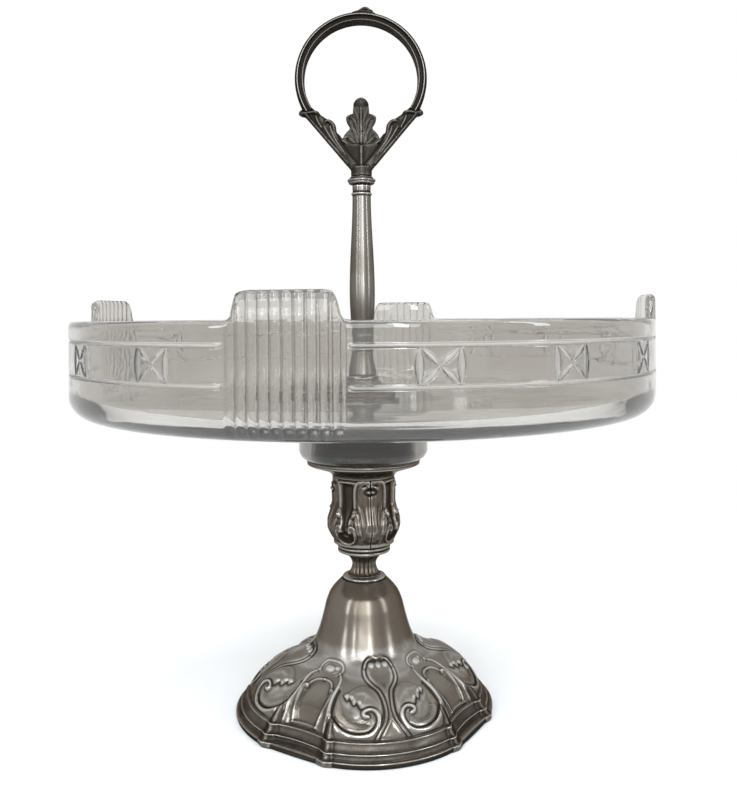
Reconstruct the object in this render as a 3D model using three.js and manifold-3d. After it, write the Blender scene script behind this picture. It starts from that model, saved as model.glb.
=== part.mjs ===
// Fruit bowl on a stand: a cut-glass dish clamped on a silver-plated foot and stem, with a ring handle
// on a column that screws down through the dish.
// Millimetres, +Z up. The origin is the centre of the foot's underside and the front faces -Y.

import * as THREE from "three";
import { mergeVertices } from "three/addons/utils/BufferGeometryUtils.js";
import Module from "manifold-3d";

const wasm = await Module();
wasm.setup();

// Clearance between two pieces that touch
const fitGap = 0.3;

// Turn of the stand's front panel and of the dish's front lobe, in degrees from the front toward +X
const standTurn = 13;
const dishTurn = -11;

// Foot: stepped rim, panelled skirt and bell, pressed from one sheet
const footRadius = 58.3;
const footHeight = 61.3;
const footWall = 1.6;
const rimBand = 1.2;
const rimTiers = 3;
const rimTierHeight = 2.6;
const rimTierStep = 2.1;
const rimDraft = 0.3;
const rimUndercut = 0.5;
const skirtTopRadius = 28.7;
const skirtTopHeight = 25.6;
const bellWaistRadius = 18.4;
const bellWaistHeight = 46.8;
const bellTopRadius = 9;

// How the foot's curves leave their lower ends and reach their upper ones, as [outward, upward] offsets
const skirtBulge = [-2.6, 6.6];
const skirtSlope = [9.5, -3.5];
const bellSweep = [-5.3, 1.95];
const bellRise = [2, -8.8];
const shoulderLean = [-1.6, 7.2];
const shoulderTurnIn = [5.8, -2.3];

// The foot's panels: wide ones that swell, narrow ones that dip, ridges between them, a lug at each ridge.
// The wide panel's swell grows up the skirt and dies out at the bell, as the narrow panel's dip does.
// Each pair gives the heights where the change begins and where it is done.
const widePanelAngle = 58;
const widePanelSwell = 1.2;
const skirtSwell = 4.6;
const swellGrowth = [9, 22];
const swellFade = [26, 33];
const narrowPanelDip = 1.8;
const dipFade = [23, 30];
const ridgeRise = 0.5;
const lugReach = 1.2;
const lugAngle = 1.8;

// Tie rod with its nut and washer under the bell, and its second nut on the plug
const rodRadius = 3;
const rodTail = 2.5;
const clampWasherRadius = 6.8;
const clampWasherThickness = 1.6;
const nutAcrossFlats = 10;
const footNutHeight = 5;
const plugNutHeight = 3;

// Fluted neck between foot and knop
const neckHeight = 9.8;
const neckBaseRadius = 8.9;
const neckBaseBead = 1.2;
const neckBeadRound = 0.5;
const neckWaistRadius = 5.7;
const neckTopRadius = 8.7;
const neckFlutes = 16;
const neckFluteDepth = 0.55;

// Moulded collar under the knop
const collarHeight = 4.7;
const collarRadius = 12.2;
const collarHollow = 0.8;
const collarRound = 0.5;

// Knop: a baluster of two cast halves with four windows and four leaf stems
const knopHeight = 30.3;
const knopWall = 1.8;
const knopFootRadius = 13.8;
const knopBellyRadius = 16.6;
const knopBellyRise = 8.8;
const knopWaistRadius = 14.1;
const knopWaistRise = 19.8;
const knopTopRadius = 14.4;
const windowBottomRise = 12;
const windowTopRise = 26.5;
const windowHalfAngle = 13;
const windowDepth = 1.2;
const leafStemHeight = 0.9;
const leafStemHalfAngle = 8;
const leafStemFootRise = 4;
const leafStemFootBlend = 2;
const leafCurlRise = 24.5;
const leafCurlHalfHeight = 2.1;
const leafCurlReach = 0.8;

// Saucer that takes the dish's glass collar
const saucerHeight = 7;
const saucerRadius = 26.4;
const saucerStemRadius = 14.5;
const saucerLip = 1.3;
const saucerLipWidth = 0.7;
const saucerLipRound = 0.2;
const seatWasherThickness = 1.6;

// Plug that centres the glass collar
const plugBaseRadius = 23.5;
const plugTopRadius = 21.4;
const plugHeight = 20.4;
const plugWall = 1.6;
const plugStep = 0.7;
const plugChamfer = 1;

// Glass dish
const dishRadius = 130;
const dishWall = 4;
const dishFloor = 5.2;
const dishHeight = 40.2;
const dishEdgeRadius = 9;
const dishInnerEdgeRadius = 6;
const dishRimChamfer = 0.8;
const glassCollarRadius = 30;
const glassCollarHeight = 24.8;
const glassCollarEdgeRadius = 5;
const glassCollarClearance = 0.8;
const dishHoleClearance = 2;
const lobeCount = 4;
const lobeHeight = 10;
const lobeTopHalfAngle = 6.4;
const lobeFootHalfAngle = 9.9;
const fluteCount = 10;
const fluteAngle = 1.8;
const fluteDepth = 0.9;

// Handle column with its washer, flange, threaded bush and cap
const handleWasherRadius = 15;
const handleWasherThickness = 1.4;
const flangeRadius = 17;
const flangeHeight = 5.2;
const flangeEdge = 1.4;
const flangeRound = 0.5;
const flangeNeckRadius = 8.2;
const columnLength = 90;
const columnWall = 1.2;
const columnFootRadius = 7.4;
const columnWaistRadius = 4.9;
const columnWaistRise = 13;
const columnSwellRadius = 5.9;
const columnSwellRise = 40;
const columnTopRadius = 4.3;
const bushLength = 8;
const bushWall = 1.2;
const capHeight = 3.6;
const capRadius = 6.6;
const capRound = 0.5;
const capBossLength = 4;

// Ring handle and its crest
const ringRadius = 28.6;
const ringBand = 4.4;
const ringDepth = 10;
const ringBead = 0.9;
const ringCove = 1.4;
const ringCrown = 0.2;
const ringEndDrop = 32;
const ringRise = 46.5;
const crestLength = 11;
const crestHeight = 2.4;
const crestEdge = 0.5;
const crestShift = 1.5;
const crestDepth = 4;
const crestMounds = 3;
const crestMoundShare = 0.28;

// Fork that carries the ring. The scrolls of its arms are set off from the corners of the ring's end.
const forkDepth = 7;
const forkBevel = 0.5;
const forkRootRadius = 4.9;
const forkRootLength = 9;
const forkRootTaper = 0.6;
const forkWebRise = 15;
const forkWebHalfWidth = 10.3;
const armFootRise = 5.2;
const armFootReach = 2;
const outerCurlRadius = 1.7;
const outerCurlPlace = [1.9, -0.9];
const innerCurlRadius = 1.7;
const innerCurlPlace = [-1, -2.4];
const armLeafRadius = 2.7;
const armLeafPlace = [-7.3, -9.9];

// Leaf that stands in the fork: two pairs of lobes under a round tip that leans forward
const leafHeight = 21.2;
const leafThickness = 3.2;
const leafEdge = 0.8;
const leafLean = 1.6;
const leafFootHalfWidth = 5;
const leafTipHalfWidth = 3.3;
const leafTipRound = 3.2;
const lowerLobeRise = 2;
const lowerLobeReach = 3.8;
const upperLobeRise = 12.3;
const upperLobeReach = 3;
const lobeSteepSide = 1.8;
const lobeLongSide = 5.6;

const silver = () => new THREE.MeshStandardMaterial({ color: 0x8d8881, metalness: 1, roughness: 0.32 });
const darkSilver = () => new THREE.MeshStandardMaterial({ color: 0x6d6862, metalness: 1, roughness: 0.42 });
const brass = () => new THREE.MeshStandardMaterial({ color: 0x9c8048, metalness: 1, roughness: 0.45 });
const cork = () => new THREE.MeshStandardMaterial({ color: 0x8d6a48, metalness: 0, roughness: 0.9 });
const glass = () => new THREE.MeshStandardMaterial({
  color: 0xdde2e0,
  metalness: 0,
  roughness: 0.06,
  transparent: true,
  opacity: 0.35,
});

const radians = THREE.MathUtils.degToRad;
const boreRadius = rodRadius + fitGap;
const spoolColumns = 24;

// A solid from a mesh whose shared vertices are merged
function toSolid(geometry) {
  const bare = new THREE.BufferGeometry();
  bare.setAttribute("position", geometry.getAttribute("position").clone());
  if (geometry.index) {
    bare.setIndex(geometry.index.clone());
  }
  const merged = mergeVertices(bare, 1e-4);
  return new wasm.Manifold(
    new wasm.Mesh({
      numProp: 3,
      vertProperties: new Float32Array(merged.getAttribute("position").array),
      triVerts: new Uint32Array(merged.index.array),
    }),
  );
}

function toGeometry(solid) {
  const { vertProperties, triVerts } = solid.getMesh();
  const geometry = new THREE.BufferGeometry();
  geometry.setAttribute("position", new THREE.BufferAttribute(new Float32Array(vertProperties), 3));
  geometry.setIndex(new THREE.BufferAttribute(new Uint32Array(triVerts), 1));
  geometry.computeVertexNormals();
  return geometry;
}

// A closed section of [radius, height] pairs turned about the axis, outer side written upward
function turned(section, columns = spoolColumns) {
  const profile = section.map(([radius, height]) => new THREE.Vector2(radius, height));
  profile.push(profile[0].clone());
  return new THREE.LatheGeometry(profile, columns).rotateX(Math.PI / 2);
}

// An outline that starts and ends on the axis, spun into a solid
function spun(outline, columns = spoolColumns) {
  const profile = outline.map(([radius, height]) => new THREE.Vector2(radius, height));
  return new THREE.LatheGeometry(profile, columns).rotateX(Math.PI / 2);
}

// A closed section that changes with the azimuth, carried round the axis.
// Azimuths are degrees from the front toward +X, in rising order.
function lofted(azimuths, sectionAt) {
  const positions = [];
  const faces = [];
  let count = 0;
  for (const azimuth of azimuths) {
    const section = sectionAt(azimuth);
    const angle = radians(azimuth);
    count = section.length;
    for (const [radius, height] of section) {
      positions.push(radius * Math.sin(angle), -radius * Math.cos(angle), height);
    }
  }
  for (let i = 0; i < azimuths.length; i++) {
    const next = (i + 1) % azimuths.length;
    for (let j = 0; j < count; j++) {
      const above = (j + 1) % count;
      const here = i * count + j;
      const hereAbove = i * count + above;
      const there = next * count + j;
      const thereAbove = next * count + above;
      faces.push(here, there, thereAbove, here, thereAbove, hereAbove);
    }
  }
  const geometry = new THREE.BufferGeometry();
  geometry.setAttribute("position", new THREE.Float32BufferAttribute(positions, 3));
  geometry.setIndex(faces);
  geometry.computeVertexNormals();
  return geometry;
}

// A solid skinned over a stack of closed loops of [x, y, z] points, lowest loop first
function stacked(loops) {
  const count = loops[0].length;
  const faces = [];
  for (let row = 0; row < loops.length - 1; row++) {
    for (let j = 0; j < count; j++) {
      const here = row * count + j;
      const beside = row * count + ((j + 1) % count);
      faces.push(here, beside, beside + count, here, beside + count, here + count);
    }
  }
  const top = (loops.length - 1) * count;
  for (let j = 1; j < count - 1; j++) {
    faces.push(0, j + 1, j, top, top + j, top + j + 1);
  }
  const geometry = new THREE.BufferGeometry();
  geometry.setAttribute("position", new THREE.Float32BufferAttribute(loops.flat(2), 3));
  geometry.setIndex(faces);
  geometry.computeVertexNormals();
  return geometry;
}

// Points of a cubic curve between two ends, its first point left out. Each pull is set off from its end.
function curvePoints(start, startPull, endPull, end, steps) {
  const curve = new THREE.CubicBezierCurve(
    new THREE.Vector2(start[0], start[1]),
    new THREE.Vector2(start[0] + startPull[0], start[1] + startPull[1]),
    new THREE.Vector2(end[0] + endPull[0], end[1] + endPull[1]),
    new THREE.Vector2(end[0], end[1]),
  );
  return curve.getPoints(steps).slice(1).map((point) => [point.x, point.y]);
}

// Points of a quarter or other arc in a section, angles in degrees from the outward radius upward
function arcPoints(radius, height, arcRadius, from, to, steps) {
  const points = [];
  for (let k = 0; k <= steps; k++) {
    const angle = radians(from + ((to - from) * k) / steps);
    points.push([radius + arcRadius * Math.cos(angle), height + arcRadius * Math.sin(angle)]);
  }
  return points;
}

// A line of points moved toward the axis side by a wall's thickness
function inset(points, wall) {
  return points.map(([radius, height], k) => {
    const [r0, h0] = points[Math.max(k - 1, 0)];
    const [r1, h1] = points[Math.min(k + 1, points.length - 1)];
    const length = Math.hypot(r1 - r0, h1 - h0);
    return [radius - (wall * (h1 - h0)) / length, height + (wall * (r1 - r0)) / length];
  });
}

// Degrees from the nearest of the four repeats of a direction, from -45 to 45
function fromNearestQuarter(azimuth, direction) {
  const turn = (((azimuth - direction + 45) % 90) + 90) % 90;
  return turn - 45;
}

// Round hole through a flat outline
function addHole(shape, radius) {
  const hole = new THREE.Path();
  hole.absarc(0, 0, radius, 0, 2 * Math.PI, true);
  shape.holes.push(hole);
}

// Foot

// Azimuths of a quarter of the foot: the wide panel, its lugs at both ridges, and the narrow panel
function footAzimuths() {
  const wideHalf = widePanelAngle / 2;
  const narrow = 90 - widePanelAngle;
  const wideSteps = 6;
  const narrowSteps = 3;
  const quarter = [];
  for (let k = 0; k <= wideSteps; k++) {
    const span = widePanelAngle - 2 * lugAngle;
    quarter.push(-wideHalf + lugAngle + (span * k) / wideSteps);
  }
  quarter.push(wideHalf);
  for (let k = 0; k <= narrowSteps; k++) {
    const span = narrow - 2 * lugAngle;
    quarter.push(wideHalf + lugAngle + (span * k) / narrowSteps);
  }
  quarter.push(wideHalf + narrow);
  return [0, 90, 180, 270].flatMap((turn) => quarter.map((angle) => standTurn + turn + angle));
}

// Share of a change in form reached at a height, from its pair of heights
function shareDone(height, [begin, done]) {
  return THREE.MathUtils.smoothstep(height, begin, done);
}

// How far the foot's surface stands out or in at an azimuth and a height
function footPanelOffset(azimuth, height) {
  const fromWide = Math.abs(fromNearestQuarter(azimuth, standTurn));
  const wideHalf = widePanelAngle / 2;
  if (fromWide <= wideHalf) {
    const grown = widePanelSwell + (skirtSwell - widePanelSwell) * shareDone(height, swellGrowth);
    const left = 1 - shareDone(height, swellFade);
    return grown * left * (1 - (fromWide / wideHalf) ** 2);
  }
  const fromRidge = (fromWide - wideHalf) / (45 - wideHalf);
  const left = 1 - shareDone(height, dipFade);
  return -narrowPanelDip * left * (1 - (1 - fromRidge) ** 2);
}

function footRidgeShare(azimuth) {
  const fromRidge = Math.abs(Math.abs(fromNearestQuarter(azimuth, standTurn)) - widePanelAngle / 2);
  return Math.max(0, 1 - fromRidge / lugAngle);
}

const rimHeight = rimBand + rimTiers * rimTierHeight;
const skirtFootRadius = footRadius - rimTiers * rimTierStep;

// Skirt and bell from the rim mouldings to the flat top
function skirtAndBell(skirtSteps, bellSteps, shoulderSteps) {
  const skirtFoot = [skirtFootRadius, rimHeight];
  const skirtTop = [skirtTopRadius, skirtTopHeight];
  const waist = [bellWaistRadius, bellWaistHeight];
  const top = [bellTopRadius, footHeight];
  return [
    skirtFoot,
    ...curvePoints(skirtFoot, skirtBulge, skirtSlope, skirtTop, skirtSteps),
    ...curvePoints(skirtTop, bellSweep, bellRise, waist, bellSteps),
    ...curvePoints(waist, shoulderLean, shoulderTurnIn, top, shoulderSteps),
  ];
}

// Steps of the rim: each tier is an upright band and a sloping ledge
function rimSteps() {
  const points = [
    [footRadius - rimUndercut, 0],
    [footRadius, rimBand],
  ];
  const bandShare = 0.55;
  for (let tier = 0; tier < rimTiers; tier++) {
    const radius = footRadius - tier * rimTierStep;
    const height = rimBand + tier * rimTierHeight;
    points.push([radius - rimDraft, height + rimTierHeight * bandShare]);
    if (tier < rimTiers - 1) {
      points.push([radius - rimTierStep, height + rimTierHeight]);
    }
  }
  return points;
}

function footShell() {
  const outside = [...rimSteps(), ...skirtAndBell(4, 5, 4)];
  const inside = inset(skirtAndBell(4, 5, 3), footWall).reverse();
  const underTop = footHeight - footWall;
  const rimInside = footRadius - rimTierStep - footWall;
  return lofted(footAzimuths(), (azimuth) => {
    const ridge = footRidgeShare(azimuth);
    const skinned = outside.map(([radius, height]) => {
      const ridgeHere = ridgeRise * (1 - shareDone(height, swellFade));
      const lugHere = lugReach * (1 - shareDone(height, [0, rimHeight]));
      return [radius + footPanelOffset(azimuth, height) + ridge * (ridgeHere + lugHere), height];
    });
    const lined = inside.map(([radius, height]) => [radius + footPanelOffset(azimuth, height), height]);
    return [
      ...skinned,
      [boreRadius, footHeight],
      [boreRadius, underTop],
      ...lined,
      [rimInside + footPanelOffset(azimuth, 0), 0],
    ];
  });
}

// Tie rod and its fasteners

const underBell = footHeight - footWall - fitGap;
const clampWasherBottom = underBell - clampWasherThickness;
const footNutBottom = clampWasherBottom - fitGap - footNutHeight;
const rodBottom = footNutBottom - rodTail;

function flatWasher(radius, bottom, thickness) {
  return turned([
    [boreRadius, bottom],
    [radius, bottom],
    [radius, bottom + thickness],
    [boreRadius, bottom + thickness],
  ]);
}

function hexNut(bottom, height) {
  const outline = new THREE.Shape();
  const corner = nutAcrossFlats / 2 / Math.cos(Math.PI / 6);
  for (let k = 0; k < 6; k++) {
    const angle = (k * Math.PI) / 3;
    const move = k === 0 ? "moveTo" : "lineTo";
    outline[move](corner * Math.cos(angle), corner * Math.sin(angle));
  }
  outline.closePath();
  addHole(outline, boreRadius);
  const options = { depth: height, bevelEnabled: false, curveSegments: 10 };
  return new THREE.ExtrudeGeometry(outline, options).translate(0, 0, bottom);
}

// Stem, from the neck up to the saucer

const neckBottom = footHeight + fitGap;
const neckTop = neckBottom + neckHeight;
const collarBottom = neckTop + fitGap;
const collarTop = collarBottom + collarHeight;
const knopBottom = collarTop + fitGap;
const knopTop = knopBottom + knopHeight;
const saucerBottom = knopTop + fitGap;
const saucerTop = saucerBottom + saucerHeight;
const saucerFloor = saucerTop - saucerLip;

function neck() {
  const bead = [neckBaseRadius - neckBeadRound, neckBottom + neckBaseBead];
  const waist = [neckWaistRadius, neckBottom + neckHeight / 2];
  const top = [neckTopRadius, neckTop];
  const outOfBead = [-2, 0.8];
  const intoWaist = [0, -1.5];
  const outOfWaist = [0, 2];
  const intoTop = [-1.2, -1.2];
  const outline = [
    [neckBaseRadius - neckBeadRound, neckBottom],
    [neckBaseRadius, neckBottom + neckBaseBead / 2],
    bead,
    ...curvePoints(bead, outOfBead, intoWaist, waist, 3),
    ...curvePoints(waist, outOfWaist, intoTop, top, 3),
  ];
  const columns = 2 * neckFlutes;
  const azimuths = Array.from({ length: columns }, (_, k) => (360 * k) / columns);
  const fluteRunIn = 1;
  return lofted(azimuths, (azimuth) => {
    const inFlute = Math.round((azimuth * columns) / 360) % 2;
    const fluted = outline.map(([radius, height]) => {
      const share = THREE.MathUtils.smoothstep(height, bead[1], bead[1] + fluteRunIn);
      return [radius - inFlute * share * neckFluteDepth, height];
    });
    return [...fluted, [boreRadius, neckTop], [boreRadius, neckBottom]];
  });
}

// Two beads with a hollow between them, in six equal steps up to the knop's foot
function knopCollar() {
  const hollow = collarRadius - collarHollow;
  const step = collarHeight / 6;
  return turned([
    [neckTopRadius + collarRound, collarBottom],
    [collarRadius - collarRound, collarBottom + step],
    [collarRadius, collarBottom + 2 * step],
    [hollow, collarBottom + 3 * step],
    [collarRadius, collarBottom + 4 * step],
    [collarRadius - collarRound, collarBottom + 5 * step],
    [knopFootRadius - collarRound, collarTop],
    [boreRadius, collarTop],
    [boreRadius, collarBottom],
  ]);
}

// Knop outline without its windows and leaves
function knopRadiusAt(rise) {
  const belly = THREE.MathUtils.smoothstep(rise, 0, knopBellyRise);
  const waist = THREE.MathUtils.smoothstep(rise, knopBellyRise, knopWaistRise);
  const top = THREE.MathUtils.smoothstep(rise, knopWaistRise, knopHeight);
  return (
    knopFootRadius +
    (knopBellyRadius - knopFootRadius) * belly +
    (knopWaistRadius - knopBellyRadius) * waist +
    (knopTopRadius - knopWaistRadius) * top
  );
}

// Relief of a window between two leaf stems, and of a leaf stem with its curl
function knopReliefAt(azimuth, rise) {
  const fromWindow = Math.abs(fromNearestQuarter(azimuth, standTurn + 45));
  const fromLeaf = Math.abs(fromNearestQuarter(azimuth, standTurn));
  const inWindow = fromWindow < windowHalfAngle && rise > windowBottomRise && rise < windowTopRise;
  if (inWindow) {
    return -windowDepth;
  }
  const across = 1 - THREE.MathUtils.smoothstep(fromLeaf, 0, 2 * leafStemHalfAngle);
  const stemStart = leafStemFootRise - leafStemFootBlend;
  const stemFull = leafStemFootRise + leafStemFootBlend;
  const rising = THREE.MathUtils.smoothstep(rise, stemStart, stemFull);
  const fading = THREE.MathUtils.smoothstep(rise, leafCurlRise, knopHeight);
  const curl = Math.abs(rise - leafCurlRise) < leafCurlHalfHeight ? leafCurlReach : 0;
  return across * (rising * (1 - fading) * leafStemHeight + curl);
}

function knop() {
  const wallStep = 0.8;
  const rises = [
    0,
    knopBellyRise / 3,
    knopBellyRise,
    windowBottomRise,
    windowBottomRise + wallStep,
    (windowBottomRise + wallStep + knopWaistRise) / 2,
    knopWaistRise,
    leafCurlRise,
    windowTopRise - wallStep,
    windowTopRise,
    knopHeight,
  ];
  const insideRises = [knopHeight, knopWaistRise, windowBottomRise, knopBellyRise, 0];
  const beside = 2;
  const within = 0.5;
  const quarter = [
    0,
    leafStemHalfAngle,
    2 * leafStemHalfAngle,
    3 * leafStemHalfAngle,
    45 - windowHalfAngle - beside,
    45 - windowHalfAngle + within,
    45,
    45 + windowHalfAngle - within,
    45 + windowHalfAngle + beside,
    90 - 3 * leafStemHalfAngle,
    90 - 2 * leafStemHalfAngle,
    90 - leafStemHalfAngle,
  ];
  const azimuths = [0, 90, 180, 270].flatMap((turn) => quarter.map((angle) => standTurn + turn + angle));
  return lofted(azimuths, (azimuth) => [
    ...rises.map((rise) => [knopRadiusAt(rise) + knopReliefAt(azimuth, rise), knopBottom + rise]),
    ...insideRises.map((rise) => [knopRadiusAt(rise) - windowDepth - knopWall, knopBottom + rise]),
  ]);
}

// One half of the knop: side 1 is the half on the +X side of the seam, side -1 the other
function knopHalf(side) {
  const reach = 3 * knopBellyRadius;
  const half = new THREE.BoxGeometry(reach, 2 * reach, 3 * knopHeight);
  half.translate(side * (reach / 2 + fitGap / 2), 0, knopBottom + knopHeight / 2);
  half.rotateZ(radians(standTurn));
  return toGeometry(toSolid(knop()).intersect(toSolid(half)));
}

function saucer() {
  const stem = [saucerStemRadius, saucerBottom];
  const lip = [saucerRadius, saucerTop - saucerLip / 2];
  const outOfStem = [0.4, 3];
  const intoLip = [-5, -2.1];
  return turned(
    [
      stem,
      ...curvePoints(stem, outOfStem, intoLip, lip, 4),
      [saucerRadius - saucerLipRound, saucerTop],
      [saucerRadius - saucerLipWidth, saucerTop],
      [saucerRadius - saucerLipWidth, saucerFloor],
      [boreRadius, saucerFloor],
      [boreRadius, saucerBottom],
    ],
    32,
  );
}

// Plug and seat washer inside the glass collar

const seatWasherBottom = saucerFloor + fitGap;
const seatWasherTop = seatWasherBottom + seatWasherThickness;
const seatWasherRadius = saucerRadius - saucerLipWidth - fitGap;
const plugBottom = seatWasherTop + fitGap;
const plugTop = plugBottom + plugHeight;
const glassCollarBottom = seatWasherTop + fitGap;
const dishBottom = glassCollarBottom + glassCollarHeight;
const dishRim = dishBottom + dishHeight;
const dishFloorTop = dishBottom + dishFloor;

function plug() {
  return turned(
    [
      [plugBaseRadius, plugBottom],
      [plugBaseRadius, plugBottom + plugWall],
      [plugBaseRadius - plugStep, plugBottom + plugWall + plugStep],
      [plugTopRadius, plugTop - plugChamfer],
      [plugTopRadius - plugChamfer, plugTop],
      [boreRadius, plugTop],
      [boreRadius, plugTop - plugWall],
      [plugTopRadius - plugWall, plugTop - plugWall],
      [plugBaseRadius - plugWall, plugBottom],
    ],
    28,
  );
}

// Glass dish

// Columns of the dish: both edges of every flute, its middle, and wider steps between the lobes
function dishAzimuths() {
  const panelHalf = (fluteCount * fluteAngle) / 2;
  const quarter = [-lobeFootHalfAngle];
  for (let k = 0; k <= 2 * fluteCount; k++) {
    quarter.push(-panelHalf + (k * fluteAngle) / 2);
  }
  const plainSteps = 9;
  const plain = 360 / lobeCount - 2 * lobeFootHalfAngle;
  for (let k = 0; k < plainSteps; k++) {
    quarter.push(lobeFootHalfAngle + (plain * k) / plainSteps);
  }
  const turns = Array.from({ length: lobeCount }, (_, k) => (360 * k) / lobeCount);
  return turns.flatMap((turn) => quarter.map((angle) => dishTurn + turn + angle));
}

function dishSectionAt(azimuth) {
  const repeat = 360 / lobeCount;
  const turn = (((azimuth - dishTurn + repeat / 2) % repeat) + repeat) % repeat;
  const fromLobe = turn - repeat / 2;
  const lift = 1 - THREE.MathUtils.smoothstep(Math.abs(fromLobe), lobeTopHalfAngle, lobeFootHalfAngle);
  const top = dishRim + lobeHeight * lift;
  const flutePlace = (fromLobe + (fluteCount * fluteAngle) / 2) / fluteAngle;
  const inPanel = flutePlace > 0 && flutePlace < fluteCount;
  const cut = inPanel ? fluteDepth * Math.abs(Math.sin(Math.PI * flutePlace)) : 0;
  const outerEdge = dishRadius - dishEdgeRadius;
  const innerRadius = dishRadius - dishWall;
  const innerEdge = innerRadius - dishInnerEdgeRadius;
  const edgeTop = dishBottom + dishEdgeRadius;
  const innerEdgeTop = dishFloorTop + dishInnerEdgeRadius;
  const corner = arcPoints(outerEdge, edgeTop, dishEdgeRadius, -90, 0, 3);
  const innerCorner = arcPoints(innerEdge, innerEdgeTop, dishInnerEdgeRadius, 0, -90, 2);
  const holeRadius = rodRadius + dishHoleClearance;
  const cutAt = (height) => cut * THREE.MathUtils.smoothstep(height, dishBottom, edgeTop);
  return [
    [holeRadius, dishBottom],
    ...corner.map(([radius, height]) => [radius - cutAt(height), height]),
    [dishRadius - cut, top - dishRimChamfer],
    [dishRadius - dishRimChamfer - cut, top],
    [innerRadius + dishRimChamfer, top],
    [innerRadius, top - dishRimChamfer],
    ...innerCorner,
    [holeRadius, dishFloorTop],
  ];
}

function glassCollar() {
  const innerRadius = plugBaseRadius + glassCollarClearance;
  const edgeCentre = glassCollarRadius - glassCollarEdgeRadius;
  const join = dishBottom + dishFloor / 2;
  return turned(
    [
      [innerRadius, glassCollarBottom],
      ...arcPoints(edgeCentre, glassCollarBottom + glassCollarEdgeRadius, glassCollarEdgeRadius, -80, 0, 4),
      [glassCollarRadius, join],
      [innerRadius, join],
    ],
    36,
  );
}

function glassDish() {
  return toGeometry(toSolid(lofted(dishAzimuths(), dishSectionAt)).add(toSolid(glassCollar())));
}

// Handle column

const handleWasherBottom = dishFloorTop + fitGap;
const flangeBottom = handleWasherBottom + handleWasherThickness + fitGap;
const flangeTop = flangeBottom + flangeHeight;
const columnBottom = flangeTop + fitGap;
const columnTop = columnBottom + columnLength;
const bushRadius = boreRadius + bushWall;
const rodTop = columnBottom + bushLength - fitGap;
const capBottom = columnTop + fitGap;
const capTop = capBottom + capHeight;
const forkBottom = capTop + fitGap;

function columnFlange() {
  const edge = [flangeRadius - flangeRound, flangeBottom + flangeEdge];
  const neckEnd = [flangeNeckRadius, flangeTop];
  const outOfEdge = [-3.4, 0.2];
  const intoNeck = [0.8, -2.4];
  return turned(
    [
      [flangeRadius - flangeRound, flangeBottom],
      [flangeRadius, flangeBottom + flangeEdge / 2],
      edge,
      ...curvePoints(edge, outOfEdge, intoNeck, neckEnd, 4),
      [boreRadius, flangeTop],
      [boreRadius, flangeBottom],
    ],
    28,
  );
}

function columnTube() {
  const foot = [columnFootRadius, columnBottom];
  const waist = [columnWaistRadius, columnBottom + columnWaistRise];
  const swell = [columnSwellRadius, columnBottom + columnSwellRise];
  const top = [columnTopRadius, columnTop];
  const innerFoot = bushRadius + fitGap;
  const innerTop = columnTopRadius - columnWall;
  const outOfFoot = [0, 3];
  const intoWaist = [0, -6];
  const outOfWaist = [0, 8];
  const intoSwell = [0, -10];
  const outOfSwell = [0, 16];
  const intoTop = [0, -20];
  return turned([
    foot,
    ...curvePoints(foot, outOfFoot, intoWaist, waist, 3),
    ...curvePoints(waist, outOfWaist, intoSwell, swell, 3),
    ...curvePoints(swell, outOfSwell, intoTop, top, 4),
    [innerTop, columnTop],
    [innerTop, columnBottom + bushLength + columnWall],
    [innerFoot, columnBottom + bushLength + fitGap],
    [innerFoot, columnBottom],
  ]);
}

function columnBush() {
  return turned([
    [boreRadius, columnBottom],
    [bushRadius, columnBottom],
    [bushRadius, columnBottom + bushLength],
    [boreRadius, columnBottom + bushLength],
  ]);
}

function columnCap() {
  const boss = columnTopRadius - columnWall - fitGap;
  const step = capHeight / 4;
  return spun([
    [0, capBottom - capBossLength],
    [boss, capBottom - capBossLength],
    [boss, capBottom],
    [columnTopRadius + capRound, capBottom],
    [capRadius - capRound, capBottom + step],
    [capRadius, capBottom + 2 * step],
    [capRadius - capRound, capBottom + 3 * step],
    [forkRootRadius + capRound, capTop],
    [0, capTop],
  ]);
}

function tieRod() {
  const chamfer = 0.6;
  return spun(
    [
      [0, rodBottom],
      [rodRadius - chamfer, rodBottom],
      [rodRadius, rodBottom + chamfer],
      [rodRadius, rodTop - chamfer],
      [rodRadius - chamfer, rodTop],
      [0, rodTop],
    ],
    18,
  );
}

// Ring handle, fork, leaf and crest

const ringCentre = forkBottom + ringRise;
const ringOuter = ringRadius + ringBand / 2;

class RingArc extends THREE.Curve {
  getPoint(share, target = new THREE.Vector3()) {
    const sweep = 180 + 2 * ringEndDrop;
    const angle = radians(-ringEndDrop + sweep * share);
    return target.set(ringRadius * Math.cos(angle), 0, ringCentre + ringRadius * Math.sin(angle));
  }
}

// Half of the ring's section from the outer edge inward: [across from the middle plane, radial place]
function ringSection() {
  const outer = ringBand / 2;
  const half = ringDepth / 2;
  const near = [
    [0, outer],
    [half - ringCove, outer - ringCrown],
    [half, outer - ringBead],
    [half - ringCove / 2, outer - 2 * ringBead],
    [half - ringCove, ringBead - outer],
    [half - ringCove, -outer],
    [0, 2 * ringCrown - outer],
  ];
  const far = near.slice(1, -1).reverse().map(([across, radial]) => [-across, radial]);
  return new THREE.Shape([...near, ...far].map(([across, radial]) => new THREE.Vector2(across, radial)));
}

function handleRing() {
  return new THREE.ExtrudeGeometry(ringSection(), {
    steps: 40,
    extrudePath: new RingArc(),
    bevelEnabled: false,
  });
}

// A flat outline in the ring's plane, given a depth and softened edges
function plate(shape, depth, bevel, curveSegments) {
  const body = new THREE.ExtrudeGeometry(shape, {
    depth: depth - 2 * bevel,
    bevelEnabled: true,
    bevelThickness: bevel,
    bevelSize: bevel,
    bevelOffset: -bevel,
    bevelSegments: 1,
    curveSegments,
  });
  return body.rotateX(Math.PI / 2).translate(0, depth / 2 - bevel, 0);
}

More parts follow.
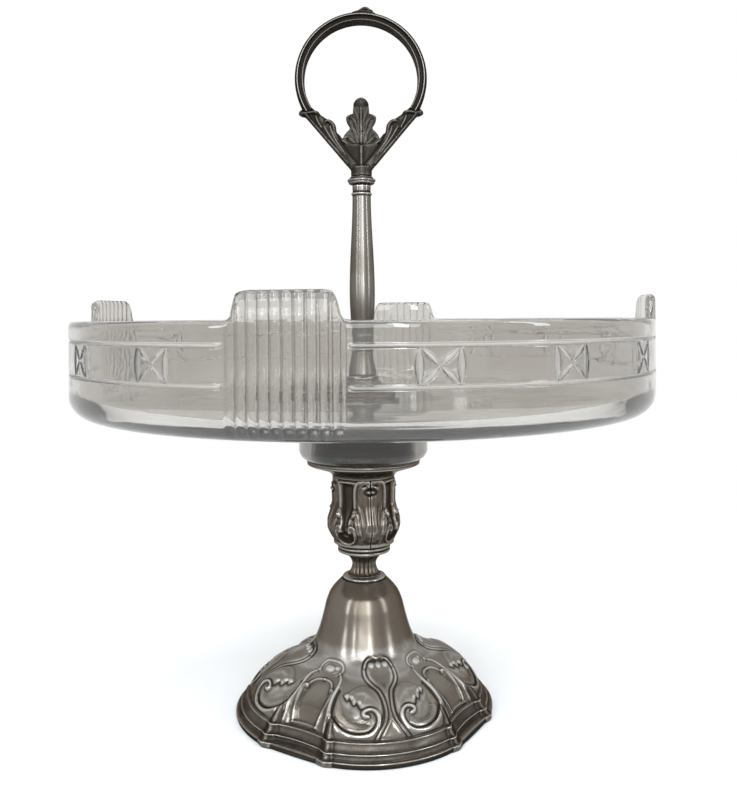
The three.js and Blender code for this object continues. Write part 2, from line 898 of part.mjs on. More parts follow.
// Outline of the fork's right half from its root up to the web, in [x, z]
function forkHalf() {
  const end = radians(-ringEndDrop);
  const along = [Math.sin(end), -Math.cos(end)];
  const onEndFace = (radial) => [
    (ringRadius + radial) * Math.cos(end) + along[0] * fitGap,
    ringCentre + (ringRadius + radial) * Math.sin(end) + along[1] * fitGap,
  ];
  const outer = onEndFace(ringBand / 2);
  const inner = onEndFace(-ringBand / 2);
  const scroll = (corner, place, radius, from, to, steps) =>
    arcPoints(corner[0] + place[0], corner[1] + place[1], radius, from, to, steps);
  return [
    [forkRootRadius, forkBottom + armFootRise / 2],
    [forkRootRadius + armFootReach, forkBottom + armFootRise],
    ...scroll(outer, outerCurlPlace, outerCurlRadius, -150, 40, 5),
    outer,
    inner,
    ...scroll(inner, innerCurlPlace, innerCurlRadius, 80, 220, 4),
    ...scroll(inner, armLeafPlace, armLeafRadius, 40, 200, 5),
    [forkWebHalfWidth, forkBottom + forkWebRise],
  ];
}

function handleFork() {
  const right = forkHalf();
  const left = right.slice().reverse().map(([x, z]) => [-x, z]);
  const outline = new THREE.Shape([...right, ...left].map(([x, z]) => new THREE.Vector2(x, z)));
  const arms = toSolid(plate(outline, forkDepth, forkBevel, 4));
  const root = spun([
    [0, forkBottom],
    [forkRootRadius, forkBottom],
    [forkRootRadius, forkBottom + forkRootLength / 2],
    [forkRootRadius * forkRootTaper, forkBottom + forkRootLength],
    [0, forkBottom + forkRootLength],
  ]);
  return toGeometry(arms.add(toSolid(root)));
}

// One pair of lobes: how far it stands out at a rise, with its own sides below and above the widest place
function lobeReachAt(rise, widest, reach, below, above) {
  const away = rise < widest ? (widest - rise) / below : (rise - widest) / above;
  return reach * Math.max(0, 1 - away * away);
}

function leafHalfWidthAt(rise) {
  const plain = THREE.MathUtils.lerp(leafFootHalfWidth, leafTipHalfWidth, rise / leafHeight);
  const lower = lobeReachAt(rise, lowerLobeRise, lowerLobeReach, lobeSteepSide, lobeLongSide);
  const upper = lobeReachAt(rise, upperLobeRise, upperLobeReach, lobeLongSide, lobeSteepSide);
  const intoTip = Math.max(0, (rise - leafHeight + leafTipRound) / leafTipRound);
  return (plain + lower + upper) * Math.sqrt(1 - intoTip * intoTip);
}

// Acanthus leaf with a raised rib, thin at its edges
function forkLeaf() {
  const bottom = forkBottom + forkWebRise + fitGap;
  const rows = 18;
  const tipStart = 0.98;
  const loops = [];
  for (let row = 0; row <= rows; row++) {
    const rise = (leafHeight * tipStart * row) / rows;
    const half = leafHalfWidthAt(rise);
    const middle = -leafLean * (rise / leafHeight) ** 2;
    const section = [
      [-half, -leafEdge / 2],
      [0, -leafThickness / 2],
      [half, -leafEdge / 2],
      [half, leafEdge / 2],
      [0, leafThickness / 2],
      [-half, leafEdge / 2],
    ];
    loops.push(section.map(([across, depth]) => [across, middle + depth, bottom + rise]));
  }
  return stacked(loops);
}

// Crest: a low cast scroll with three swellings, seated on the ring
function ringCrest() {
  const seat = ringOuter + fitGap;
  const halfAngle = crestLength / 2 / seat;
  const tilt = -crestShift / seat;
  const outline = new THREE.Shape();
  const steps = 12;
  const place = (share, height) => {
    const angle = Math.PI / 2 + tilt + halfAngle * (1 - 2 * share);
    return [(seat + height) * Math.cos(angle), ringCentre + (seat + height) * Math.sin(angle)];
  };
  outline.moveTo(...place(0, 0));
  for (let k = 0; k <= steps; k++) {
    const share = k / steps;
    const wave = Math.cos(2 * Math.PI * crestMounds * (share - 0.5));
    const mound = Math.sin(Math.PI * share) * (1 - crestMoundShare * (1 - wave));
    outline.lineTo(...place(share, crestEdge + (crestHeight - crestEdge) * mound));
  }
  for (let k = steps; k >= 1; k -= 2) {
    outline.lineTo(...place(k / steps, 0));
  }
  const body = new THREE.ExtrudeGeometry(outline, { depth: crestDepth, bevelEnabled: false });
  return body.rotateX(Math.PI / 2).translate(0, crestDepth / 2, 0);
}

// The assembly

const bowl = new THREE.Group();

function addPiece(name, geometry, material) {
  const piece = new THREE.Mesh(geometry, material);
  piece.name = name;
  bowl.add(piece);
}

addPiece("foot_shell", footShell(), silver());
addPiece("clamp_washer", flatWasher(clampWasherRadius, clampWasherBottom, clampWasherThickness), brass());
addPiece("foot_nut", hexNut(footNutBottom, footNutHeight), brass());
addPiece("tie_rod", tieRod(), brass());
addPiece("fluted_neck", neck(), silver());
addPiece("knop_collar", knopCollar(), silver());
addPiece("knop_half_right", knopHalf(1), silver());
addPiece("knop_half_left", knopHalf(-1), silver());
addPiece("saucer", saucer(), silver());
addPiece("seat_washer", flatWasher(seatWasherRadius, seatWasherBottom, seatWasherThickness), cork());
addPiece("centring_plug", plug(), darkSilver());
addPiece("plug_nut", hexNut(plugTop + fitGap, plugNutHeight), brass());
addPiece("glass_dish", glassDish(), glass());
addPiece("handle_washer", flatWasher(handleWasherRadius, handleWasherBottom, handleWasherThickness), cork());
addPiece("column_flange", columnFlange(), silver());
addPiece("column_tube", columnTube(), silver());
addPiece("column_bush", columnBush(), brass());
addPiece("column_cap", columnCap(), silver());
addPiece("handle_fork", handleFork(), silver());
addPiece("fork_leaf", forkLeaf(), silver());
addPiece("handle_ring", handleRing(), silver());
addPiece("ring_crest", ringCrest(), silver());

export default bowl;
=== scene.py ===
import math

import bpy
import numpy as np
from mathutils import Matrix, Vector


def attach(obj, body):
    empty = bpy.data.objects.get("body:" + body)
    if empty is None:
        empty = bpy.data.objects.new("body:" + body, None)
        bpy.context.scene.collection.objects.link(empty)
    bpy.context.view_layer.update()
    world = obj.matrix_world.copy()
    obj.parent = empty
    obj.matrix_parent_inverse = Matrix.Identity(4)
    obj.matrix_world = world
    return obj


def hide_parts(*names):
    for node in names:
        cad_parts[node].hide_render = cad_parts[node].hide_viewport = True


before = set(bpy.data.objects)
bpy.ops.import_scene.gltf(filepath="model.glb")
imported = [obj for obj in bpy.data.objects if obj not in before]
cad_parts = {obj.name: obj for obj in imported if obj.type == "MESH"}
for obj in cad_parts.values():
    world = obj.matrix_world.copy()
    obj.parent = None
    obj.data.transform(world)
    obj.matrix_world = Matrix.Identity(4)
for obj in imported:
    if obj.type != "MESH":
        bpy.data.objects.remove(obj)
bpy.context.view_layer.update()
MM = 0.001
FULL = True

# Sizes in millimetres and turns in degrees, as the CAD has them
STAND_TURN = 13.0
DISH_TURN = -11.0
FOOT_R, FOOT_TOP = 58.3, 61.3
RIM_BAND, RIM_TIERS, RIM_TIER_H, RIM_TIER_STEP = 1.2, 3, 2.6, 2.1
RIM_H = RIM_BAND + RIM_TIERS * RIM_TIER_H
SKIRT_FOOT_R = FOOT_R - RIM_TIERS * RIM_TIER_STEP
SKIRT_TOP_R, SKIRT_TOP_Z = 28.7, 25.6
WAIST_R, WAIST_Z = 18.4, 46.8
BELL_TOP_R = 9.0
BORE_R = 3.3


# Small tools

def bezier(p0, pull0, pull3, p3, n):
    """Points of a cubic curve, the pulls set off from their ends."""
    p0, p3 = np.array(p0, float), np.array(p3, float)
    p1, p2 = p0 + pull0, p3 + pull3
    t = np.linspace(0, 1, n)[:, None]
    return (1 - t) ** 3 * p0 + 3 * (1 - t) ** 2 * t * p1 + 3 * (1 - t) * t * t * p2 + t ** 3 * p3


def arc(cx, cy, r, start, end, n):
    a = np.radians(np.linspace(start, end, n))
    return np.column_stack([cx + r * np.cos(a), cy + r * np.sin(a)])


def join(*lines):
    """One line of points from several, without repeated points."""
    points = np.vstack([np.array(line, float).reshape(-1, 2) for line in lines])
    keep = np.concatenate([[True], np.hypot(*np.diff(points, axis=0).T) > 1e-6])
    return points[keep]


def length_along(points):
    return np.concatenate([[0], np.cumsum(np.hypot(*np.diff(points, axis=0).T))])


def normals_along(line):
    """Unit normals to the right of an open line."""
    tangent = np.gradient(line, axis=0)
    tangent /= np.hypot(*tangent.T)[:, None]
    return np.column_stack([tangent[:, 1], -tangent[:, 0]])


def resample(points, step):
    """The line's own corners kept, with more points between them where they lie more than a step apart."""
    out = [points[0]]
    for a, b in zip(points[:-1], points[1:]):
        n = max(1, int(math.ceil(math.hypot(*(b - a)) / step)))
        out += [a + (b - a) * k / n for k in range(1, n + 1)]
    return np.array(out)


def smooth(a, b, x):
    t = np.clip((x - a) / (b - a), 0, 1)
    return t * t * (3 - 2 * t)


def spline(points, per=8):
    """A smooth line through points."""
    p = np.array(points, float)
    p = np.vstack([2 * p[0] - p[1], p, 2 * p[-1] - p[-2]])
    out = []
    for i in range(1, len(p) - 2):
        for k in range(per):
            t = k / per
            out.append(0.5 * (2 * p[i] + (p[i + 1] - p[i - 1]) * t
                              + (2 * p[i - 1] - 5 * p[i] + 4 * p[i + 1] - p[i + 2]) * t * t
                              + (3 * p[i] - p[i - 1] - 3 * p[i + 1] + p[i + 2]) * t ** 3))
    out.append(p[-2])
    return np.array(out)


def both_sides(line):
    """One outline from a line and its mirror image, which runs back."""
    return np.vstack([line, line[::-1] * np.array([-1, 1])])


def hump(x, middle, width):
    """1 at the middle, falling off evenly on both sides."""
    return np.exp(-((x - middle) / width) ** 2)


def near(az, s, r, line):
    """Distance in millimetres from places on a turned surface to a line of (degrees, along) points,
    and the share along the line of the nearest point. The share takes a degree as 0.6 mm."""
    line = np.array(line, float)
    lengths = length_along(line * np.array([0.6, 1]))
    k = np.radians(1) * r
    best = np.full(az.shape, 1e6)
    share = np.zeros(az.shape)
    for i in range(len(line) - 1):
        (a0, s0), (a1, s1) = line[i], line[i + 1]
        ax, ay, bx, by = (az - a0) * k, s - s0, (a1 - a0) * k, s1 - s0
        t = np.clip((ax * bx + ay * by) / (bx * bx + by * by + 1e-12), 0, 1)
        d = np.hypot(ax - t * bx, ay - t * by)
        hit = d < best
        best = np.where(hit, d, best)
        share = np.where(hit, (lengths[i] + t * (lengths[i + 1] - lengths[i])) / lengths[-1], share)
    return best, share


def inside(az, s, polygon):
    polygon = np.array(polygon, float)
    hit = np.zeros(az.shape, bool)
    for (a0, s0), (a1, s1) in zip(polygon, np.roll(polygon, -1, axis=0)):
        if s0 == s1:
            continue
        crosses = (s0 > s) != (s1 > s)
        hit ^= crosses & (az < (a1 - a0) * (s - s0) / (s1 - s0) + a0)
    return hit


def ridge(d, half):
    """Round-backed ridge by distance from its line."""
    return np.sqrt(np.clip(1 - (d / half) ** 2, 0, 1))


def raised(az, s, r, polygon, edge):
    """1 inside a region, falling to 0 over its edge's width, measured inward."""
    loop = list(polygon) + [polygon[0]]
    d, _ = near(az, s, r, loop)
    return np.where(inside(az, s, polygon), smooth(0, edge, d), 0)


def ball(az, s, r, a0, s0, half_a, half_s):
    """A round bead, its half widths in millimetres."""
    u = (az - a0) * np.radians(1) * r / half_a
    v = (s - s0) / half_s
    return np.sqrt(np.clip(1 - u * u - v * v, 0, 1))


def blur(grid, k, closed):
    """Mean over 2k + 1 places along each of the two directions."""
    out = grid
    for axis in (0, 1):
        if closed[axis]:
            out = sum(np.roll(out, j, axis) for j in range(-k, k + 1)) / (2 * k + 1)
        else:
            pad = [(0, 0)] * out.ndim
            pad[axis] = (k, k)
            wide = np.pad(out, pad, mode="edge")
            n = out.shape[axis]
            out = sum(np.take(wide, np.arange(j, j + n), axis) for j in range(2 * k + 1)) / (2 * k + 1)
    return out


def normals_of(grid, closed):
    def along(axis):
        if closed[axis]:
            return np.roll(grid, -1, axis) - np.roll(grid, 1, axis)
        return np.gradient(grid, axis=axis)
    n = np.cross(along(1), along(0))
    return n / np.maximum(np.linalg.norm(n, axis=2, keepdims=True), 1e-9)


def hollow_of(grid, closed, k, gain):
    """0.5 on flat ground, more in a hollow and less on an edge."""
    lift = ((blur(grid, k, closed) - grid) * normals_of(grid, closed)).sum(axis=2)
    return np.clip(0.5 + lift * gain, 0, 1)


def worn(points, closed, gain, broad, broad_gain):
    """Hollows of a casting: its fine ones, and with less weight those that are several places broad."""
    return np.clip(0.6 * hollow_of(points, closed, 2, gain)
                   + 0.4 * hollow_of(points, closed, broad, broad_gain), 0, 1)


def grid_faces(rows, cols, closed, first):
    i, j = np.meshgrid(np.arange(rows if closed[0] else rows - 1),
                       np.arange(cols if closed[1] else cols - 1), indexing="ij")
    up, side = (i + 1) % rows, (j + 1) % cols
    quads = np.stack([i * cols + j, i * cols + side, up * cols + side, up * cols + j], axis=-1)
    return quads.reshape(-1, 4) + first


class Build:
    """Gathers grids into one mesh, with a value at each vertex for its hollows and for the painted shade and
    highlights laid on it.
    """

    def __init__(self):
        self.verts, self.faces, self.hollow, self.count = [], [], [], 0

    def grid(self, points, closed, gain=2.0, hollow=None, ends=0):
        """Adds a grid. ends closes its two open ends, 1 or -1 by the way its places run round."""
        rows, cols = points.shape[:2]
        if hollow is None:
            hollow = hollow_of(points, closed, 2, gain)
        self.faces += grid_faces(rows, cols, closed, self.count).tolist()
        if ends:
            index = self.count + np.arange(rows * cols).reshape(rows, cols)
            first, last = (index[0], index[-1]) if closed[1] else (index[:, 0], index[:, -1])
            self.faces += [first[::ends].tolist(), last[::-ends].tolist()]
        self.verts.append(points.reshape(-1, 3))
        self.hollow.append(np.broadcast_to(hollow, (rows, cols)).reshape(-1))
        self.count += rows * cols

    def done(self, name):
        mesh = bpy.data.meshes.new(name)
        mesh.from_pydata((np.vstack(self.verts) * MM).tolist(), [], self.faces)
        shade_by_hollow(mesh, np.concatenate(self.hollow))
        mesh.update()
        return in_scene(name, mesh)


def shade_by_hollow(mesh, hollow):
    attribute = mesh.attributes.get("hollow") or mesh.attributes.new("hollow", "FLOAT", "POINT")
    attribute.data.foreach_set("value", hollow.astype(np.float32))
    mesh.polygons.foreach_set("use_smooth", [True] * len(mesh.polygons))


def in_scene(name, data):
    obj = bpy.data.objects.new(name, data)
    bpy.context.scene.collection.objects.link(obj)
    return obj


def turned_points(az, r, z):
    """Positions from degrees round from the front, radius and height."""
    a = np.radians(az)
    return np.stack([r * np.sin(a), -r * np.cos(a), z + 0 * a], axis=-1)


def place(obj, finish, node):
    """Makes an object a piece. Its finish is its material, the body that it rides and its slot, which is not
    used here.
    """
    material, body, slot = finish
    obj.data.materials.append(material)
    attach(obj, body)
    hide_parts(node)


def cast(name, points, closed, finish, node, hollow=None, gain=2.0, ends=0):
    """A piece made of one grid."""
    build = Build()
    build.grid(points, closed, gain, hollow, ends)
    place(build.done(name), finish, node)


def lathe(name, profile, columns, finish, node, step, gain=2.0, shape=None):
    """A closed section turned about the axis. shape(az, r, z) returns changed r and z."""
    section = resample(np.vstack([profile, profile[:1]]), step)[:-1]
    a, r = np.meshgrid(np.arange(columns) * 360 / columns, section[:, 0])
    z = np.broadcast_to(section[:, 1][:, None], r.shape).copy()
    if shape:
        r, z = shape(a, r, z)
    cast(name, turned_points(a, r, z), (True, True), finish, node, gain=gain)


# Materials

class Graph:
    """A node tree with a short call for each kind of node used here. A value is a number, a colour, a
    vector or another node's output."""

    def __init__(self, owner, shader):
        owner.use_nodes = True
        self.nodes, self.links = owner.node_tree.nodes, owner.node_tree.links
        self.shader = self.nodes[shader]

    def fill(self, node, values):
        for key, value in values.items():
            socket = node.inputs[key]
            if isinstance(value, bpy.types.NodeSocket):
                self.links.new(value, socket)
            else:
                socket.default_value = (*value, 1) if socket.type == "RGBA" else value

    def add(self, kind, values):
        node = self.nodes.new(kind)
        self.fill(node, values)
        return node

    def math(self, kind, a, b, c=0.0):
        node = self.nodes.new("ShaderNodeMath")
        node.operation = kind
        self.fill(node, {0: a, 1: b, 2: c})
        return node.outputs[0]

    def scaled(self, value, gain, base):
        return self.math("MULTIPLY_ADD", value, gain, base)

    def mix(self, factor, a, b):
        node = self.nodes.new("ShaderNodeMix")
        node.data_type = "RGBA"
        self.fill(node, {0: factor, 6: a, 7: b})
        return node.outputs[2]

    def ranged(self, value, start, end, at_start, at_end):
        node = self.nodes.new("ShaderNodeMapRange")
        node.interpolation_type = "SMOOTHSTEP"
        self.fill(node, {0: value, 1: start, 2: end, 3: at_start, 4: at_end})
        return node.outputs[0]

    def position(self):
        return self.add("ShaderNodeTexCoord", {}).outputs["Object"]

    def hollow(self):
        node = self.nodes.new("ShaderNodeAttribute")
        node.attribute_name = "hollow"
        return node.outputs["Fac"]

    def noise(self, scale, detail, rough, distort=0.0, stretch=(1, 1, 1), shift=(0, 0, 0)):
        where = self.add("ShaderNodeMapping",
                         {"Vector": self.position(), "Scale": stretch, "Location": shift}).outputs[0]
        return self.add("ShaderNodeTexNoise", {"Vector": where, "Scale": scale, "Detail": detail,
                                               "Roughness": rough, "Distortion": distort}).outputs["Fac"]

    def bump(self, height, distance, strength, after=None):
        node = self.add("ShaderNodeBump", {"Height": height, "Distance": distance, "Strength": strength})
        if after is not None:
            self.fill(node, {"Normal": after})
        return node.outputs[0]

    def seen(self):
        """1 for rays from the camera and for those that shine or pass on from a surface."""
        rays = self.add("ShaderNodeLightPath", {}).outputs
        return self.math("MAXIMUM", self.math("MAXIMUM", rays["Is Camera Ray"], rays["Is Glossy Ray"]),
                         rays["Is Transmission Ray"])

    def mix_into(self, output, factor, a, b):
        node = self.add("ShaderNodeMixShader", {0: factor, 1: a.outputs[0], 2: b.outputs[0]})
        self.links.new(node.outputs[0], self.nodes[output].inputs["Surface"])


def new_material(name):
    material = bpy.data.materials.new(name)
    return material, Graph(material, "Principled BSDF")


def silver(name, polish_and_highlight, body, tarnish_and_shade, shine, pits, satin=None):
    """Old silver plate: bright on worn edges and on the painted highlights that the hollow value carries,
    brown-black where polish never reaches and under its painted shade. satin gives the heights where a duller
    film begins, is full, begins to fade and ends, and how rough it is."""
    material, g = new_material(name)
    cloud = g.noise(70.0, 4.0, 0.6, 0.4)
    speck = g.noise(900.0, 3.0, 0.6)
    patch = g.noise(28.0, 3.0, 0.55, 0.8, shift=(3, 1, 7))
    level = g.scaled(speck, 0.08, g.scaled(cloud, 0.22, g.hollow()))
    # Polish colour where the hollow value is low, on worn ridges and painted highlights; the dark colour
    # where it is high, in real hollows and painted shade.
    rubbed_and_highlit = g.ranged(level, 0.36, 0.60, 0.75, 0.0)
    deep = g.ranged(level, 0.66, 0.92, 0.0, 1.0)
    stained = g.ranged(patch, 0.42, 0.68, 0.0, 0.55)
    warm = tuple(c * f for c, f in zip(body, (0.62, 0.55, 0.47)))
    colour = g.mix(deep, g.mix(rubbed_and_highlit, g.mix(stained, body, warm), polish_and_highlight), tarnish_and_shade)
    rough = g.scaled(stained, 0.12, g.scaled(deep, 0.28, g.scaled(cloud, 0.14, shine - 0.05)))
    metal = 0.86
    if satin:
        start, full, still, end, more = satin
        height = g.add("ShaderNodeSeparateXYZ", {0: g.position()}).outputs["Z"]
        film = g.math("MULTIPLY", g.ranged(height, start * MM, full * MM, 0.0, more),
                      g.ranged(height, still * MM, end * MM, 1.0, 0.0))
        rough = g.math("ADD", rough, film)
        metal = g.scaled(film, -2.7, metal)
    scratches = g.bump(g.noise(1500.0, 2.0, 0.5, 0.0, (1, 1, 0.08)), 0.00002, 0.35)
    # The dark specular tint dims the metal's reflections at grazing angles: painted shade along the outlines.
    g.fill(g.shader, {"Base Color": colour, "Metallic": metal, "Specular Tint": (0.30, 0.27, 0.24),
                      "Roughness": rough, "Normal": g.bump(speck, 0.00006, pits, scratches)})
    return material


def plain_metal(name, light, dark, shine, grain, stretch=(1, 1, 1), relief=0.5):
    material, g = new_material(name)
    fine = g.noise(grain, 4.0, 0.6, 0.0, stretch)
    share = g.ranged(g.scaled(fine, 0.35, g.noise(120.0, 5.0, 0.65, 0.6)), 0.5, 0.85, 0.0, 1.0)
    g.fill(g.shader, {"Base Color": g.mix(share, light, dark), "Metallic": 1.0,
                      "Roughness": g.scaled(share, 0.25, shine), "Normal": g.bump(fine, 0.00008, relief)})
    return material


def cork_material():
    material, g = new_material("cork")
    grain = g.noise(650.0, 5.0, 0.7, 0.5)
    cells = g.add("ShaderNodeTexVoronoi", {"Vector": g.position(), "Scale": 700.0})
    colour = g.mix(g.ranged(grain, 0.35, 0.65, 0.0, 1.0), (0.13, 0.085, 0.052), (0.27, 0.19, 0.125))
    pits = g.ranged(cells.outputs["Distance"], 0.05, 0.25, 1.0, 0.0)
    g.fill(g.shader, {"Base Color": g.mix(pits, colour, (0.09, 0.05, 0.025)), "Roughness": 0.9,
                      "Normal": g.bump(grain, 0.0002, 0.7)})
    return material


def glass_material():
    """Clear pressed glass with a grey cast, pale and rough in its cuts, with painted shade as dark lines
    beside them, on the flutes' arrises and over the collar.
    """
    material, g = new_material("clear_glass")
    depth = g.hollow()
    # Painted shade: the dark colour beside the cuts, on the arrises and over the collar stands in for the
    # dark lines that refraction shows.
    edge = g.ranged(depth, 0.54, 0.63, 0.0, 1.0)
    facet = g.ranged(depth, 0.72, 0.86, 0.0, 1.0)
    film = g.ranged(g.noise(45.0, 4.0, 0.6, 0.3), 0.35, 0.7, 0.0, 1.0)
    tint = g.mix(film, (0.62, 0.597, 0.565), (0.57, 0.547, 0.515))
    colour = g.mix(facet, g.mix(edge, tint, (0.26, 0.245, 0.225)), (0.86, 0.84, 0.82))
    wavy = g.bump(g.noise(60.0, 2.0, 0.4, 0.0, (1, 1, 3)), 0.0004, 0.35)
    g.fill(g.shader, {"Base Color": colour, "Transmission Weight": 0.95, "IOR": 1.48,
                      "Roughness": g.scaled(facet, 0.38, 0.015),
                      "Normal": g.bump(g.noise(1300.0, 2.0, 0.5), 0.00001, 0.2, wavy)})
    absorb = g.add("ShaderNodeVolumeAbsorption", {"Color": (0.80, 0.79, 0.72), "Density": 7.0})
    g.links.new(absorb.outputs[0], g.nodes["Material Output"].inputs["Volume"])
    return material


foot_silver = silver("silver_foot", (0.42, 0.41, 0.39), (0.146, 0.129, 0.110), (0.026, 0.021, 0.017),
                     0.14, 0.25, satin=(14, 20, 27, 33, 0.22))
stem_silver = silver("silver_stem", (0.29, 0.27, 0.245), (0.100, 0.084, 0.070), (0.022, 0.017, 0.013),
                     0.2, 0.25)
handle_silver = silver("silver_handle", (0.24, 0.225, 0.21), (0.070, 0.061, 0.053), (0.014, 0.012, 0.010),
                       0.24, 0.12)
column_silver = silver("silver_column", (0.40, 0.39, 0.37), (0.145, 0.133, 0.119), (0.030, 0.026, 0.022),
                       0.18, 0.2)
plug_metal = plain_metal("dark_plug_metal", (0.050, 0.040, 0.032), (0.018, 0.014, 0.011), 0.26, 90.0,
                         (1, 1, 0.15), 0.1)
brass = plain_metal("rod_brass", (0.45, 0.33, 0.15), (0.16, 0.11, 0.055), 0.32, 900.0)
cork = cork_material()

# A finish: material, body and slot
FOOT = (foot_silver, "stand", "silver_plate")
STEM = (stem_silver, "stand", "silver_plate")
PLUG = (plug_metal, "stand", "dark_silver")
GLASS = (glass_material(), "stand", "clear_glass")
ROD = (brass, "stand", "rod_brass")
COLUMN = (column_silver, "handle", "silver_plate")
CAP = (handle_silver, "handle", "silver_plate")
HANDLE = (handle_silver, "handle", "handle_silver")


# Foot

# The shell's thickness, how far in its lining lies, and the radius that nothing passes
FOOT_WALL, LINING_DEPTH, FOOT_REACH = 1.6, 1.7, 60.5
# Half of a wide panel, and the middle of its corner's post, in degrees from the panel's middle
WIDE_HALF, CORNER_AT = 29.0, 29.5


def foot_profile():
    """Outlines of the rim, the skirt, the bell and its shoulder. The rim is, from the ground up, a low band,
    a cove and a tall plain band, each ended by a thin sharp edge."""
    rim = join([(FOOT_R - 0.6, 0), (FOOT_R - 0.2, 0.5), (FOOT_R, RIM_BAND), (FOOT_R - 0.1, 1.9)],
               arc(FOOT_R - 0.3, 2.25, 0.3, -30, 100, 5),
               bezier((FOOT_R - 0.7, 2.6), (-1.0, 0.1), (0, -1.0), (FOOT_R - 2.3, 4.6), 8),
               arc(FOOT_R - 2.45, 4.9, 0.32, -20, 100, 5),
               bezier((FOOT_R - 2.9, 5.2), (-0.9, 0.2), (0.1, -1.0), (FOOT_R - 4.9, 8.0), 10),
               arc(FOOT_R - 5.15, 8.3, 0.32, -10, 100, 5),
               [(SKIRT_FOOT_R + 0.6, 8.75), (SKIRT_FOOT_R, RIM_H)])
    foot, top = (SKIRT_FOOT_R, RIM_H), (SKIRT_TOP_R, SKIRT_TOP_Z)
    waist, peak = (WAIST_R, WAIST_Z), (BELL_TOP_R - 0.7, FOOT_TOP)
    skirt = bezier(foot, (-2.6, 6.6), (9.5, -3.5), top, 56)
    bell = bezier(top, (-5.3, 1.95), (2, -8.8), waist, 30)
    shoulder = spline([waist, (17.95, 48.6), (17.1, 51.1), (15.9, 53.7), (13.9, 56.3), (11.6, 58.7),
                       (9.7, 60.4), peak], 5)
    return rim, skirt, bell, shoulder


